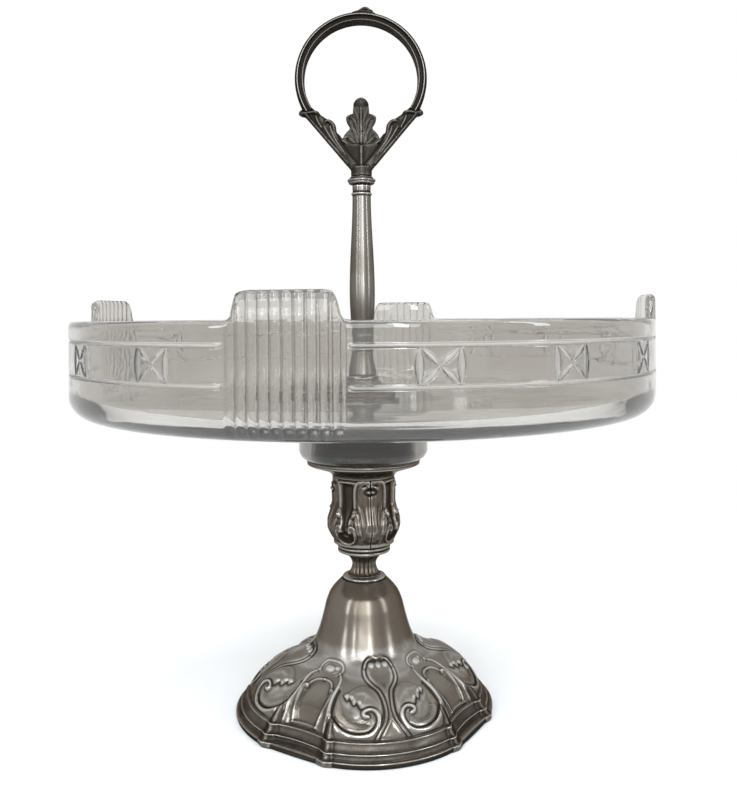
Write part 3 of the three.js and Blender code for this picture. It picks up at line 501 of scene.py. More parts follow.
def foot_relief(b, s, r):
    """Height of the chased ornament over the skirt, by degrees from a wide panel's middle and by
    millimetres up the skirt's line from its foot, and the painted shade and painted highlights laid over it
    there."""
    h, painted_shading = np.zeros(b.shape), np.zeros(b.shape)

    def lined(d, half, dark=0.2, bright=0.1):
        """Painted highlight along the back of a ridge and a painted dark line of shade on either side of it.
        """
        return dark * hump(d - half, 0.3, 0.35) - bright * ridge(d, half)

    band = spline([(31.0, 25.0), (31.0, 22.0), (32.0, 17.9), (32.5, 13.4), (31.9, 9.7), (30.0, 6.8),
                   (26.8, 4.4), (23.2, 2.6), (18.9, 1.6), (14.8, 1.5), (11.0, 2.1), (8.2, 3.8), (6.4, 6.4),
                   (5.8, 9.3), (6.8, 11.9), (9.2, 13.4), (11.8, 13.0), (13.5, 11.6), (12.9, 10.1),
                   (11.2, 9.9)])
    bowl = np.vstack([spline([(30.5, 21), (31.4, 17.5), (31.8, 13.4), (31.2, 9.9), (29.2, 7.2), (26.2, 5.0),
                              (22.8, 3.3), (18.8, 2.3), (14.8, 2.2), (11.4, 2.8), (8.9, 4.3), (7.2, 6.6)]),
                      [[8.0, 11.2], [13.0, 12.4], [17, 17], [24.6, 18.4]]])
    leaf = spline([(4.6, 7.6), (3.8, 11.0), (3.2, 14.8), (3.6, 18.4), (5.6, 21.8), (9.2, 24.2), (14.0, 25.0),
                   (19.2, 23.2), (22.9, 20.5), (24.8, 18.1)])
    frill = spline([(24.8, 18.1), (23.2, 16.7), (21.4, 17.8), (19.0, 15.2), (16.8, 16.2), (14.8, 13.6),
                    (10.4, 14.6), (7.4, 13.0), (5.9, 10.2)], 6)
    for side in (1, -1):
        a = b * side
        h -= 1.15 * raised(a, s, r, bowl, 5.5)
        leafy = np.vstack([leaf, frill])
        rise = raised(a, s, r, leafy, 5.0)
        step = raised(a, s, r, leafy, 0.9)
        vein = np.cos(np.radians((a - 4) * 14 - (s - 12) * 20))
        h += 0.6 * step + 0.5 * rise + 0.1 * vein * rise
        d, _ = near(a, s, r, frill)
        # Painted shadow below the frill's edge and a painted highlight along it, with the leaf and the bowl
        # painted lighter.
        under = np.where(inside(a, s, leafy), -0.1 * hump(d, 0, 0.4), 0.4 * hump(d, 0.4, 0.75))
        painted_shading += under * smooth(6.0, 11.0, a) - 0.08 * rise - 0.14 * raised(a, s, r, bowl, 3.0)
        # Painted highlights on the leaf's three rolled tips.
        for a0, s0, size in ((24.2, 18.4, 1.1), (20.6, 17.9, 0.9), (15.9, 16.0, 1.0)):
            tip = ball(a, s, r, a0, s0, size, size)
            h += 0.5 * tip
            painted_shading -= 0.25 * tip
        d, share = near(a, s, r, band)
        curl = smooth(0.66, 0.76, share)
        within = inside(a, s, bowl)
        edge = np.where(within, smooth(1.0, 0.2, d), 1 - smooth(0.2, 3.2, d))
        edge = edge * (1 - 0.5 * smooth(0.2, 0.0, share))
        step = 0.8 * edge - 0.35 * hump(d, 1.5, 0.7) * within
        half = 0.95 - 0.2 * share
        over = smooth(half + 0.3, half - 0.4, d)
        h = h + (1 - curl) * step + curl * (0.75 * ridge(d, half) - 0.6 * h * over)
        # Painted shade down the bowl's steep side inside the band, and a painted highlight along the band.
        line = np.where(within, 0.32 * hump(d, 1.25, 0.5), 0) - 0.12 * hump(d, 0.2, 0.35)
        painted_shading = painted_shading * smooth(0.2, 1.0, d) + (1 - curl) * line + curl * lined(d, half, 0.26, 0.06)
        h += 0.3 * ball(a, s, r, 11.9, 10.6, 1.1, 1.1)
    # Lyre: two lines that hold the knuckle, meet in a stem and part again at the foot
    lyre = spline([(-4.0, 35.8), (-9.0, 36.0), (-12.8, 34.6), (-13.4, 31.6), (-11.2, 28.2), (-7.8, 25.4),
                   (-4.4, 22.8), (-2.8, 19.6), (-2.0, 15.5), (-1.9, 11.5), (-2.9, 7.6), (-4.8, 4.2),
                   (-7.4, 0.4)])
    below_head = 8
    h += 0.5 * raised(b, s, r, both_sides(lyre[below_head:]), 1.6)
    cup = both_sides(spline([(0, 20.5), (3.4, 24.6), (7.4, 28.0), (9.2, 31.0), (5.4, 32.6), (0, 32.8)]))
    h -= 0.2 * raised(b, s, r, cup, 3.0)
    # The lyre's cup painted darker: painted shade.
    painted_shading += 0.14 * raised(b, s, r, cup, 1.5)
    for side in (1, -1):
        d, share = near(b * side, s, r, lyre)
        h += 0.34 * ridge(d, 0.5) * smooth(0, 0.05, share) - 0.2 * hump(d, 0.9, 0.4)
        painted_shading += lined(d, 0.5, 0.3, 0.04)
    arch = spline([(-12.8, 33.2), (-9.6, 36.2), (-4.6, 36.9), (0, 36.6), (4.6, 36.9), (9.6, 36.2),
                   (12.8, 33.2)])
    d, _ = near(b, s, r, arch)
    h += 0.4 * ridge(d, 0.55)
    # A painted dark line of shade along the arch.
    painted_shading += 0.3 * hump(d, 0.75, 0.35)
    for a0, size in ((-6.6, 1.25), (0.3, 1.1), (6.9, 1.25)):
        h += 0.95 * ball(b, s, r, a0, 34.0, size, 1.15)
    foot_gap = [(-5.6, 0.8), (-2.4, 5.4), (0, 8.4), (2.4, 5.4), (5.6, 0.8)]
    h -= 0.35 * raised(b, s, r, foot_gap, 1.6)
    crest = spline([(34.6, 28.4), (31.6, 25.4), (31.2, 22), (32.2, 16.0), (32.4, 10.0), (33.0, 4), (33.0, 0)])
    for side in (1, -1):
        d, _ = near(b * side, s, r, crest)
        h += 0.5 * ridge(d, 0.6)
        painted_shading += lined(d, 0.5, 0.12, 0.05)
    # Narrow panel: the boss at its head, its frame with an arched top, and the hollow field inside it
    n = (b + 45 + 45) % 90 - 45
    knuckle = both_sides(spline([(0, 25.4), (6.0, 26.0), (10.6, 28.4), (11.8, 31.2), (9.2, 33.4), (4.6, 34.2),
                                 (0, 34.3)]))
    h += 0.35 * raised(n, s, r, knuckle, 1.6)
    d, _ = near(n, s, r, np.vstack([knuckle, knuckle[:1]]))
    h += 0.32 * ridge(d, 0.55) * smooth(24.5, 28, s)
    painted_shading += lined(d, 0.5, 0.2, 0.04) * smooth(24.5, 28, s)
    h += 1.15 * ball(n, s, r, -1.2, 29.6, 2.5, 2.3) + 0.6 * ball(n, s, r, 5.4, 30.6, 1.1, 1.2)
    side_line = spline([(7.0, 1.2), (8.0, 5.4), (9.4, 10.4), (10.8, 15.0), (11.4, 17.6), (10.2, 18.8),
                        (8.9, 17.9)])
    top = spline([(9.2, 18.6), (8.6, 20.8), (6.2, 22.6), (2.4, 23.3), (0, 23.3)])
    below_top = 26
    h -= 0.65 * raised(n, s, r, both_sides(np.vstack([side_line[:below_top], top])), 2.2)
    d, _ = near(n, s, r, [(-7.4, 1.0), (-3, 1.5), (3, 1.5), (7.4, 1.0)])
    h += 0.4 * ridge(d, 0.7)
    for side in (1, -1):
        a = n * side
        for line in (side_line, top):
            d, _ = near(a, s, r, line)
            h += 0.38 * ridge(d, 0.58)
            painted_shading += lined(d, 0.5, 0.16, 0.05)
        h += 0.45 * ball(a, s, r, 10.0, 18.2, 1.0, 1.0)
    return h, painted_shading


def foot_panel(z, off):
    """How far the shell swells or dips, by height and by degrees from a wide panel's middle."""
    swell = (1.2 + 2.9 * smooth(RIM_H, 22, z)) * (1 - smooth(24, 30, z))
    dip = 1.8 * (1 - smooth(23, 30, z)) + 2.0 * smooth(1.0, 3.4, z) * (1 - smooth(9, 17, z))
    rest_of = 1 - np.clip((off - WIDE_HALF) / (45 - WIDE_HALF), 0, 1)
    return np.where(off <= WIDE_HALF, swell * (1 - (off / WIDE_HALF) ** 2), -dip * (1 - rest_of ** 2))


def foot_lining(skirt, bell, shoulder):
    """The underside, from the bore out to the rim: a plain lining about a wall's thickness in."""
    line = join(resample(skirt, 2.0), resample(bell, 2.0), resample(shoulder, 1.6))
    in_rim = [(FOOT_R - RIM_TIER_STEP - FOOT_WALL, 0.0)]
    lining = np.vstack([in_rim, line - LINING_DEPTH * normals_along(line)])
    lining = lining[lining[:, 0] > BORE_R + 1]
    under_top = FOOT_TOP - FOOT_WALL
    lining[:, 1] = np.minimum(lining[:, 1], under_top)
    return np.vstack([[(BORE_R, FOOT_TOP), (BORE_R, under_top)], lining[::-1]])


def foot_posts(b, Z):
    """A narrow post stands on each corner and widens down over the rim's edges to a blunt toe. Gives how low
    each place lies, its degrees from the panel's middle once the columns follow the post's two edges, where
    the post is and how near its crease."""
    post_top, pace = 22, 90 / len(b)
    low_share = 1 - smooth(RIM_H - 1, post_top, Z)
    half = 0.12 + 2.4 * low_share ** 1.6 + 0.9 * (1 - smooth(0, RIM_H, Z))
    first, last = round(27.4 / pace) * pace, round(31.6 / pace) * pace
    plain = np.abs(b)
    bent = np.array([np.interp(plain, [0, 20, first, CORNER_AT, last, 40, 45],
                               [0, 20, CORNER_AT - p, CORNER_AT, CORNER_AT + p, 40, 45]) for p in half[:, 0]])
    follow = 1 - smooth(post_top, 27, Z)
    away = plain * (1 - follow) + bent * follow
    on_post = (plain > first - pace / 2) & (plain < last + pace / 2) & (Z < post_top)
    return low_share, away, on_post, np.clip(1 - np.abs(away - CORNER_AT) / half, 0, 1)


def rim_tone(painted_shading, Z, low_share, on_post):
    """Painted shade and highlights on the rim: its bands darker than its thin edges, the low band by the
    ground darkest, and the posts in one painted shade.
    """
    rim_edges = np.array([2.3, 4.95, 8.35])
    on_edge = hump(np.min(np.abs(Z[:, :, None] - rim_edges), axis=2), 0, 0.4)
    in_rim = 1 - smooth(RIM_H - 0.6, RIM_H, Z)
    painted_shading = painted_shading + in_rim * (0.12 + 0.42 * (1 - smooth(1.7, 2.2, Z))) * (1 - on_edge)
    return np.where(on_post, painted_shading * (1 - low_share) + low_share * 0.3 * (1 - 0.8 * on_edge), painted_shading)


def make_foot():
    rim, skirt, bell, shoulder = foot_profile()
    fine = 0.36 if FULL else 0.7
    rim = resample(rim, 0.35)
    outside = join(rim, resample(skirt, fine), resample(bell, fine * 1.4), resample(shoulder, fine * 1.6))
    along = length_along(outside) - length_along(rim)[-1]
    normal = normals_along(outside)
    per_quarter = 240 if FULL else 120
    b = np.arange(per_quarter) * 90 / per_quarter - 45
    S, R, Z = (np.broadcast_to(v[:, None], (len(v), len(b))) for v in (along, *outside.T))
    low_share, away, on_post, crease = foot_posts(b, Z)
    B = np.sign(b) * away

    h, painted_shading = foot_relief(B, S, R)
    fade = smooth(-1.0, 1.2, S) * (1 - smooth(38.5, 41.0, S))
    # Painted light: a band over the skirt's top and the bell's foot is made lighter.
    h, painted_shading = h * fade, painted_shading * fade - 0.17 * smooth(24, 29, S) * (1 - smooth(38, 44, S))
    for _ in range(2 if FULL else 1):
        h = blur(h, 1, (False, True))
    bead = np.abs(S - (along[-1] - 1.3))
    h = (h + 0.45 * ridge(bead, 0.7)) * (1 - on_post * low_share)
    # A painted highlight on the bead under the neck, with painted shade beside it.
    painted_shading = painted_shading - 0.1 * ridge(bead, 0.7) + 0.2 * hump(bead, 1.1, 0.4)
    painted_shading = rim_tone(painted_shading, Z, low_share, on_post)
    radius = R + foot_panel(Z, away) + normal[:, :1] * h
    radius = np.minimum(radius + on_post * (0.12 + low_share * (0.25 + 0.7 * crease)), FOOT_REACH)

    lining = foot_lining(skirt, bell, shoulder)
    lining_r, lining_z = lining[:, :1], np.broadcast_to(lining[:, 1:], (len(lining), len(b)))
    radius = np.vstack([radius, lining_r + foot_panel(lining_z, np.abs(b))])
    height = np.vstack([Z + normal[:, 1:] * h, lining_z])
    B = np.vstack([B, np.broadcast_to(b, lining_z.shape)])
    A = np.concatenate([B + STAND_TURN + 90 * q for q in range(4)], axis=1)
    points = turned_points(A, np.tile(radius, 4), np.tile(height, 4))
    hollow = worn(points, (True, True), 2.0, 6, 0.9)
    # The painted shading goes onto the hollow value beside the real hollows.
    hollow[:len(painted_shading)] += np.tile(painted_shading, 4)
    cast("foot_chased", points, (True, True), FOOT, "foot_shell", np.clip(hollow, 0, 1))


# Stem

def make_neck():
    base, height = 61.6, 9.8
    top, mid = base + height, base + height / 2
    outline = join([(8.1, base), (7.5, base + 0.3)],
                   bezier((7.5, base + 0.3), (-1.1, 0.7), (0, -1.6), (5.6, mid), 14),
                   bezier((5.6, mid), (0, 2), (-1.2, -1.2), (8.7, top), 10),
                   [(BORE_R, top), (BORE_R, base)])

    def fluted(a, r, z):
        share = (r > 5) * (1 - smooth(top - 0.7, top - 0.1, z))
        flute = np.abs(np.sin(np.radians(a) * 8)) ** 0.7
        return r - share * 0.75 * (1 - flute), z

    lathe("fluted_neck_cast", outline, 256, STEM, "fluted_neck",
          step=0.35, gain=2.4, shape=fluted)


def make_collar():
    low = 71.7
    collar = join([(9.2, low), (10.6, low + 0.35)], arc(11.5, low + 1.3, 0.75, -70, 80, 8),
                  [(11.3, low + 2.35)], arc(11.7, low + 3.2, 0.7, -70, 80, 8),
                  [(12.0, low + 4.1), (13.2, low + 4.7), (BORE_R, low + 4.7), (BORE_R, low)])
    lathe("knop_collar_turned", collar, 128, STEM, "knop_collar",
          step=0.3, gain=3.0)


KNOP_BOTTOM, KNOP_HEIGHT, KNOP_REACH = 76.7, 30.3, 17.1


def knop_radius(rise):
    return (13.8 + 2.8 * smooth(0, 8.8, rise) - 2.5 * smooth(8.8, 19.8, rise)
            + 0.3 * smooth(19.8, KNOP_HEIGHT, rise))


def knop_relief(b, z, r):
    """Ornament of the knop by degrees from a leaf's middle and by rise over its foot, and the painted shade
    laid on its grounds."""
    h = np.zeros(b.shape)
    w = np.abs(b)
    n = 45 - w
    # Windows: a recess with a raised frame that spreads at its top corners
    recess = [(39.0, 5.5), (38.5, 12.0), (33.5, 16.6), (32.0, 18.5), (32.0, 27.6), (33.5, 28.8), (56.5, 28.8),
              (58.0, 27.6), (58.0, 18.5), (56.5, 16.6), (51.5, 12.0), (51.0, 5.5)]
    full = np.where(w > 20, w, 0)
    window = raised(full, z, r, recess, 0.6)
    h -= 1.35 * window
    # Painted shade in the window's recess.
    painted_shading = 0.16 * window
    frame_line = spline([(29.2, 15.4), (29.0, 19), (29.2, 23), (28.4, 26.8), (25.4, 29.4)])
    d, _ = near(w, z, r, frame_line)
    h += 0.7 * ridge(d, 0.75)
    d, _ = near(w, z, r, [(29.5, 29.4), (45, 29.6)])
    h += 0.6 * ridge(d, 0.6)
    # Leaf on the seam: wide at its curled head, narrow below, spreading again at its foot
    side_of_leaf = spline([(15.5, 3.4), (12.6, 7.6), (10.8, 11.8), (12.0, 15.0), (16.0, 18.6), (20.6, 21.8),
                           (22.4, 24.6), (20.0, 27.4), (13.0, 28.6)])
    leaf = np.vstack([side_of_leaf, [[0, 28.6], [0, 2.0], [8, 2.0]]])
    up = raised(w, z, r, leaf, 1.0)
    h += up * (0.55 + 0.25 * np.cos(np.radians(w * 22 - z * 9)) * smooth(1.5, 5, w))
    d, _ = near(w, z, r, side_of_leaf)
    h -= 0.15 * hump(d, 0.7, 0.5) * (1 - np.clip(up, 0, 1))
    h += 0.7 * ridge(w * np.radians(1) * r, 0.8) * smooth(2, 6, z) * (1 - smooth(22, 24, z))
    head = ball(b, z, r, 0, 25.4, 2.0, 1.15)
    around = ball(b, z, r, 0, 25.4, 3.6, 2.2)
    h += 1.5 * head - 0.3 * around
    # Painted shade round the leaf's head.
    painted_shading = painted_shading + 0.22 * smooth(0, 0.5, around) * (1 - smooth(0, 0.3, head))
    h += 0.5 * ball(b, z, r, 0, 29.4, 0.8, 0.8)
    # A leaf on each side of it springs from the foot and curls over beside the window
    blade = spline([(17.0, 2.6), (19.5, 6.5), (22.0, 10.5), (24.6, 14.2), (27.6, 16.4), (30.6, 16.0),
                    (31.2, 14.4)])
    d, share = near(w, z, r, blade)
    broad = 1.55 - 0.5 * np.abs(share - 0.55) * 2
    notch = 1 + 0.10 * np.cos(share * 26)
    furrow = 0.22 * ridge(d, 0.35) * (share > 0.1) * (share < 0.7)
    h += (0.45 + 0.5 * share) * notch * ridge(d, broad) - furrow
    h += 0.55 * ball(w, z, r, 30.4, 14.9, 0.9, 0.9)
    # Shell under each window: a scroll curls in from each side over an oval hollow with a raised lip
    folded = 45 + np.abs(45 - w)
    scroll = spline([(45, 1.2), (50, 1.4), (56, 2.0), (60.5, 3.4), (63, 5.8), (61.5, 8.2), (57.5, 9.8),
                     (54.2, 9.0), (54.4, 7.4)])
    d, share = near(folded, z, r, scroll)
    h += 0.75 * ridge(d, 0.85 * (0.75 + 0.4 * share))
    h += 0.5 * ball(folded, z, r, 55.0, 8.0, 1.0, 1.0)
    oval = ball(n, z, r, 0, 4.5, 4.5, 2.7)
    h -= 0.8 * oval
    # Painted shade in the oval hollow.
    painted_shading += 0.3 * smooth(0, 0.5, oval)
    for centre in (0.1, 1.0):
        h = h * smooth(0.2, 0.9, np.abs(z - centre)) + 0.35 * ridge(np.abs(z - centre), 0.4)
    return h, painted_shading


def make_knop():
    """Two cast halves, each with its inner side, and the thin open seam between them."""
    wall, seam_half = 3.0, 0.2
    b = np.linspace(-90, 90, 220 if FULL else 120)
    B, rise = np.meshgrid(b, np.linspace(0, KNOP_HEIGHT, 100 if FULL else 60))
    inner_B, inner_rise = np.meshgrid(b, KNOP_HEIGHT * np.array([1, 0.6, 0.3, 0]))
    A, Z = np.vstack([B, inner_B]), np.vstack([rise, inner_rise])
    by_seam = 1 - smooth(0, 1.2, 90 - np.abs(A))
    base = knop_radius(rise)
    for side, name, node in ((1, "knop_cast_right", "knop_half_right"),
                             (-1, "knop_cast_left", "knop_half_left")):
        relief, painted_shading = knop_relief((B + 90 * side + 45) % 90 - 45, rise, base)
        r = base + (blur(relief, 1, (False, False)) if FULL else relief)
        r = np.minimum(r - 0.35 * (1 - smooth(0.0, 1.6, 90 - np.abs(B))), KNOP_REACH)
        R = np.vstack([r, knop_radius(inner_rise) - wall])
        direction, out = np.radians(STAND_TURN + 90 * side + A), np.radians(STAND_TURN + 90 * side)
        x, y = R * np.sin(direction), -R * np.cos(direction)
        nx, ny = math.sin(out), -math.cos(out)
        lift = np.maximum(0, seam_half - (x * nx + y * ny))
        points = np.stack([x + lift * nx, y + lift * ny, KNOP_BOTTOM + Z], axis=-1)
        hollow = worn(points, (True, False), 2.3, 5, 1.3)
        # The relief's painted shade goes onto the hollow value.
        hollow[:len(painted_shading)] += painted_shading
        cast(name, points, (True, False), STEM, node, np.maximum(hollow, 0.95 * by_seam), ends=1)


def make_saucer():
    low, top = 107.3, 114.3
    stem = (14.5, low)
    outline = join([stem], bezier(stem, (0.4, 3), (-5, -2.1), (26.2, top - 1.0), 24),
                   arc(26.05, top + 0.3, 0.4, -60, 90, 7),
                   [(25.75, top + 0.6), (25.7, 113.0), (BORE_R, 113.0), (BORE_R, low)])
    lathe("saucer_turned", outline, 192, STEM, "saucer", step=0.6, gain=2.4)


def make_plug():
    base, wall = 115.2, 1.6
    peak = base + 20.4
    plug = join([(23.1, base), (23.5, base + 0.4), (23.5, base + 1.3), (23.2, base + 1.6)],
                [(22.7, base + 2.3), (22.4, base + 6), (22.55, base + 6.4), (22.2, base + 6.8)],
                [(21.4, peak - 1), (21.1, peak - 0.4), (20.4, peak), (BORE_R, peak), (BORE_R, peak - wall),
                 (19.8, peak - wall), (21.9, base)])
    lathe("plug_turned", plug, 160, PLUG, "centring_plug", step=0.8)


# Dish

DISH_BOTTOM, DISH_R, DISH_WALL, DISH_RIM, LOBE_RISE = 140.0, 130.0, 4.0, 180.2, 10.0
DISH_FLOOR = DISH_BOTTOM + 5.2
INNER_R, RIM_HALF, RIM_ROUND = DISH_R - DISH_WALL, DISH_WALL / 2, 1.9
FLUTES, FLUTE_ANGLE = 10, 1.8
BANDS = (172.0, 158.4)
MOTIF_Z, MOTIF_HALF_HEIGHT, LENS_AT = 165.2, 6.3, 7.0


def spindle(d, share, half, depth):
    """A cut that runs out to a point at both ends: share goes from -1 to 1 along it."""
    width = half * np.clip(1 - share ** 2, 0, 1)
    return depth * np.clip(1 - np.abs(d) / np.maximum(width, 1e-3), 0, 1) * (width > 0.02)


def dish_cuts(f, z):
    """Depth of the cuts in the wall by degrees from the nearest lobe's middle and by height: two bands, and
    between them motifs of two lens cuts with a cross of four cuts."""
    mm = DISH_R * np.radians(1)
    depth = np.zeros(z.shape)
    beside = smooth(9.3, 10.0, np.abs(f))
    for band in BANDS:
        depth = np.maximum(depth, beside * (0.7 * np.clip(1 - np.abs(z - band) / 0.8, 0, 1)))
    v = z - MOTIF_Z
    for centre in (22.5, 45.0, 67.5, -22.5, -45.0, -67.5):
        u = (f - centre) * mm
        for lens in (-LENS_AT, LENS_AT):
            depth = np.maximum(depth, spindle(u - lens, v / MOTIF_HALF_HEIGHT, 1.75, 0.9))
        for sx, sy in ((1, 1), (1, -1), (-1, 1), (-1, -1)):
            ax, ay, bx, by = 0.35 * sx, 0.35 * sy, 6.4 * sx, 5.9 * sy
            length = math.hypot(bx - ax, by - ay)
            tx, ty = (bx - ax) / length, (by - ay) / length
            t = ((u - ax) * tx + (v - ay) * ty) / length
            depth = np.maximum(depth, spindle((u - ax) * ty - (v - ay) * tx, 2 * t - 1, 1.15, 0.8))
    return depth


def dish_columns():
    """Degrees from the nearest lobe's middle for a quarter's columns, closer where something is cut."""
    fine, medium, coarse = (0.15, 0.2, 0.8) if FULL else (0.28, 0.36, 1.5)
    stretches = ((-45, -40.5, fine), (-40.5, -27, coarse), (-27, -18, fine), (-18, -10, coarse),
                 (-10, 10, medium), (10, 18, coarse), (18, 27, fine), (27, 40.5, coarse), (40.5, 45, fine))
    return np.concatenate([np.linspace(a, b, math.ceil((b - a) / step), endpoint=False)
                           for a, b, step in stretches])


def upright(r, heights):
    return np.column_stack([np.full(len(heights), r), heights])


def dish_sections(tops):
    """Radius and height down a section for each column, by the height where its wall ends: the collar and the
    bottom, the wall, the rim, and back down over the floor. Gives also the numbers of places in the collar,
    up to the round edge, up to the wall and up to the rim's peak."""
    edge_round, inner_round = 9, 6
    outer_edge, floor_r = DISH_R - edge_round, INNER_R - inner_round
    collar = resample(join([(5, DISH_BOTTOM), (24.3, DISH_BOTTOM), (24.3, 115.6)],
                           arc(24.9, 115.8, 0.6, 180, 270, 4), arc(25, 120.2, 5, -80, 0, 9), [(30, 137.5)],
                           arc(32.5, 137.5, 2.5, 180, 90, 5)), 3.0)
    base = resample(join([(32.5, DISH_BOTTOM), (outer_edge, DISH_BOTTOM)]), 9.0)[1:]
    round_edge = arc(outer_edge, DISH_BOTTOM + edge_round, edge_round, -90, 0, 16)[1:]
    below_wall = np.vstack([collar, base, round_edge])
    low_wall = np.concatenate([np.linspace(DISH_BOTTOM + edge_round, 157, 9)[1:],
                               np.arange(157, 173.6, 0.3 if FULL else 0.6)[1:]])
    share = np.linspace(0, 1, 8)[1:]
    rim_x, rim_z = arc(0, 0, 1, 0, 180, 9).T
    floor = np.linspace(floor_r, 5, 14)[1:]
    inside_floor = np.vstack([arc(floor_r, DISH_FLOOR + inner_round, inner_round, 0, -90, 9)[1:],
                              np.column_stack([floor, np.full(len(floor), DISH_FLOOR)])])
    sections = []
    for top in tops:
        wall = upright(DISH_R, np.concatenate([low_wall, low_wall[-1] + share * (top - low_wall[-1])]))
        rim = np.column_stack([DISH_R - RIM_HALF + rim_x * RIM_HALF, top + rim_z * RIM_ROUND])[1:]
        inner = upright(INNER_R, np.linspace(top, DISH_FLOOR + inner_round, 14)[1:])
        sections.append(np.vstack([below_wall, wall, rim, inner, inside_floor]))
    outer_half_of_rim = 4
    rim_peak = len(below_wall) + len(low_wall) + len(share) + outer_half_of_rim
    return *np.array(sections).T, (len(collar), len(collar) + len(base), len(below_wall), rim_peak)


def make_dish():
    quarter = dish_columns()
    az = np.concatenate([DISH_TURN + 90 * q + quarter for q in range(4)])
    f = np.tile(quarter, 4)
    flank = spline([(12.0, 1.0), (14.4, 0.985), (16.0, 0.93), (17.1, 0.8), (17.8, 0.6), (18.3, 0.4),
                    (18.9, 0.2), (20.0, 0.05), (22.0, 0.0)])
    lift = np.interp(np.abs(f) * np.radians(1) * DISH_R, flank[:, 0], flank[:, 1])
    r, z, (collar, edge, wall, rim_peak) = dish_sections(DISH_RIM + LOBE_RISE * lift - RIM_ROUND)
    place_in = (f + FLUTES * FLUTE_ANGLE / 2) / FLUTE_ANGLE
    in_panel = (place_in > 0) & (place_in < FLUTES)
    wave = np.abs(np.sin(np.pi * place_in))
    flute = np.where(in_panel, 0.95 * wave ** 0.8, 0)
    arris = np.where(in_panel, (1 - wave) ** 3, 0)
    rows = np.arange(len(r))[:, None]
    depth = np.where((rows >= wall) & (rows < rim_peak), dish_cuts(f, z), 0)
    outside = (rows >= edge) & (rows < rim_peak)
    fluted = flute * smooth(DISH_BOTTOM + 0.5, DISH_BOTTOM + 7, z) * outside
    # Besides the cuts' depth, the value paints dark lines of shade on the flutes' arrises and painted shade
    # over the collar.
    hollow = np.clip(0.5 + 0.9 * depth + 0.13 * arris * outside + 0.115 * (rows < collar - 1), 0, 1)
    points = turned_points(az, r - depth - fluted, z)
    cast("dish_cut_glass", points, (True, True), GLASS, "glass_dish", hollow)


# Column

def make_flange():
    low = 147.2
    top = low + 5.2
    flange = join([(16.5, low)], arc(16.4, low + 0.65, 0.6, -80, 80, 7), [(16.0, low + 1.5)],
                  bezier((16.0, low + 1.5), (-3.4, 0.2), (0.8, -2.4), (8.2, top), 16),
                  [(BORE_R, top), (BORE_R, low)])
    lathe("flange_turned", flange, 128, COLUMN, "column_flange", step=0.5)


def make_column():
    low, length = 152.7, 90.0
    top = low + length
    waist, swell = (4.9, low + 13), (5.9, low + 40)
    outline = join([(7.2, low)], arc(6.9, low + 0.9, 0.6, -60, 90, 6), [(6.5, low + 1.7)],
                   bezier((6.5, low + 1.7), (0, 3), (0, -6), waist, 12)[1:-1],
                   arc(4.75, waist[1], 0.65, -80, 80, 7),
                   bezier((4.85, waist[1] + 1), (0, 8), (0, -10), swell, 14),
                   bezier(swell, (0, 16), (0, -14), (4.3, top - 5), 16),
                   arc(4.25, top - 4, 0.6, -80, 80, 7), [(4.2, top - 2.8), (4.3, top - 0.8), (4.3, top)],
                   [(3.1, top), (3.1, low + 9.2), (4.8, low + 8.3), (4.8, low)])
    lathe("column_turned", outline, 96, COLUMN, "column_tube", step=0.8)


def make_cap():
    low, height = 243.0, 3.6
    cap = join([(0.4, 239.0), (2.8, 239.0), (2.8, low), (4.7, low)], arc(5.4, low + 1.0, 0.7, -70, 60, 6),
               arc(5.9, low + 2.0, 0.7, -60, 80, 6),
               [(5.5, low + 3.0), (5.3, low + height), (0.4, low + height)])
    lathe("column_cap_turned", cap, 96, CAP, "column_cap", step=0.35)


# Handle

FORK_BOTTOM = 246.9
RING_R, RING_CENTRE = 28.6, FORK_BOTTOM + 45.3
RING_END = 32.0


def make_ring():
    """The ring's section: a bead by each outer edge, a hollow side and a thin inner bead."""
    near_side = join([(0, 2.2), (2.4, 2.15), (3.6, 1.95), (4.2, 1.6), (4.4, 1.25)],
                     arc(4.5, 0.85, 0.42, 60, -70, 8), [(4.2, 0.35), (3.9, -0.1), (3.7, -0.7), (3.65, -1.05)],
                     arc(3.75, -1.5, 0.42, 80, -80, 7), [(3.3, -2.0), (1.8, -1.8), (0, -1.7)])
    line = resample(near_side, 0.35)
    section = np.vstack([line, line[1:-1][::-1] * np.array([-1, 1])])
    angle = np.radians(np.linspace(-RING_END, 180 + RING_END, 300 if FULL else 160))
    across, radial = section[:, :1], section[:, 1:]
    rho = RING_R + radial
    points = np.stack([rho * np.cos(angle), -across + 0 * angle, RING_CENTRE + rho * np.sin(angle)], axis=-1)
    # Painted shade on the ring's outer face and in the coves of its sides, and painted highlights on the bead
    # by each edge.
    painted_rim_shade = smooth(1.15, 1.35, radial)
    cove = hump(radial, -0.3, 0.7) * (np.abs(across) > 3)
    painted_bead_highlights = (hump(radial, 0.85, 0.22) + 0.7 * hump(radial, -1.5, 0.2)) * (np.abs(across) > 3.6)
    hollow = np.clip(0.66 + 0.34 * painted_rim_shade + 0.3 * cove - 0.45 * painted_bead_highlights, 0, 1)
    cast("ring_bar", points, (True, False), HANDLE, "handle_ring", hollow, ends=1)


def spread(sizes, n):
    """n sizes along a bar, through a few that lie evenly or at the shares of it that a dict gives."""
    marks = list(sizes) if isinstance(sizes, dict) else np.linspace(0, 1, len(sizes))
    values = list(sizes.values()) if isinstance(sizes, dict) else sizes
    return np.interp(np.linspace(0, 1, n), marks, values)


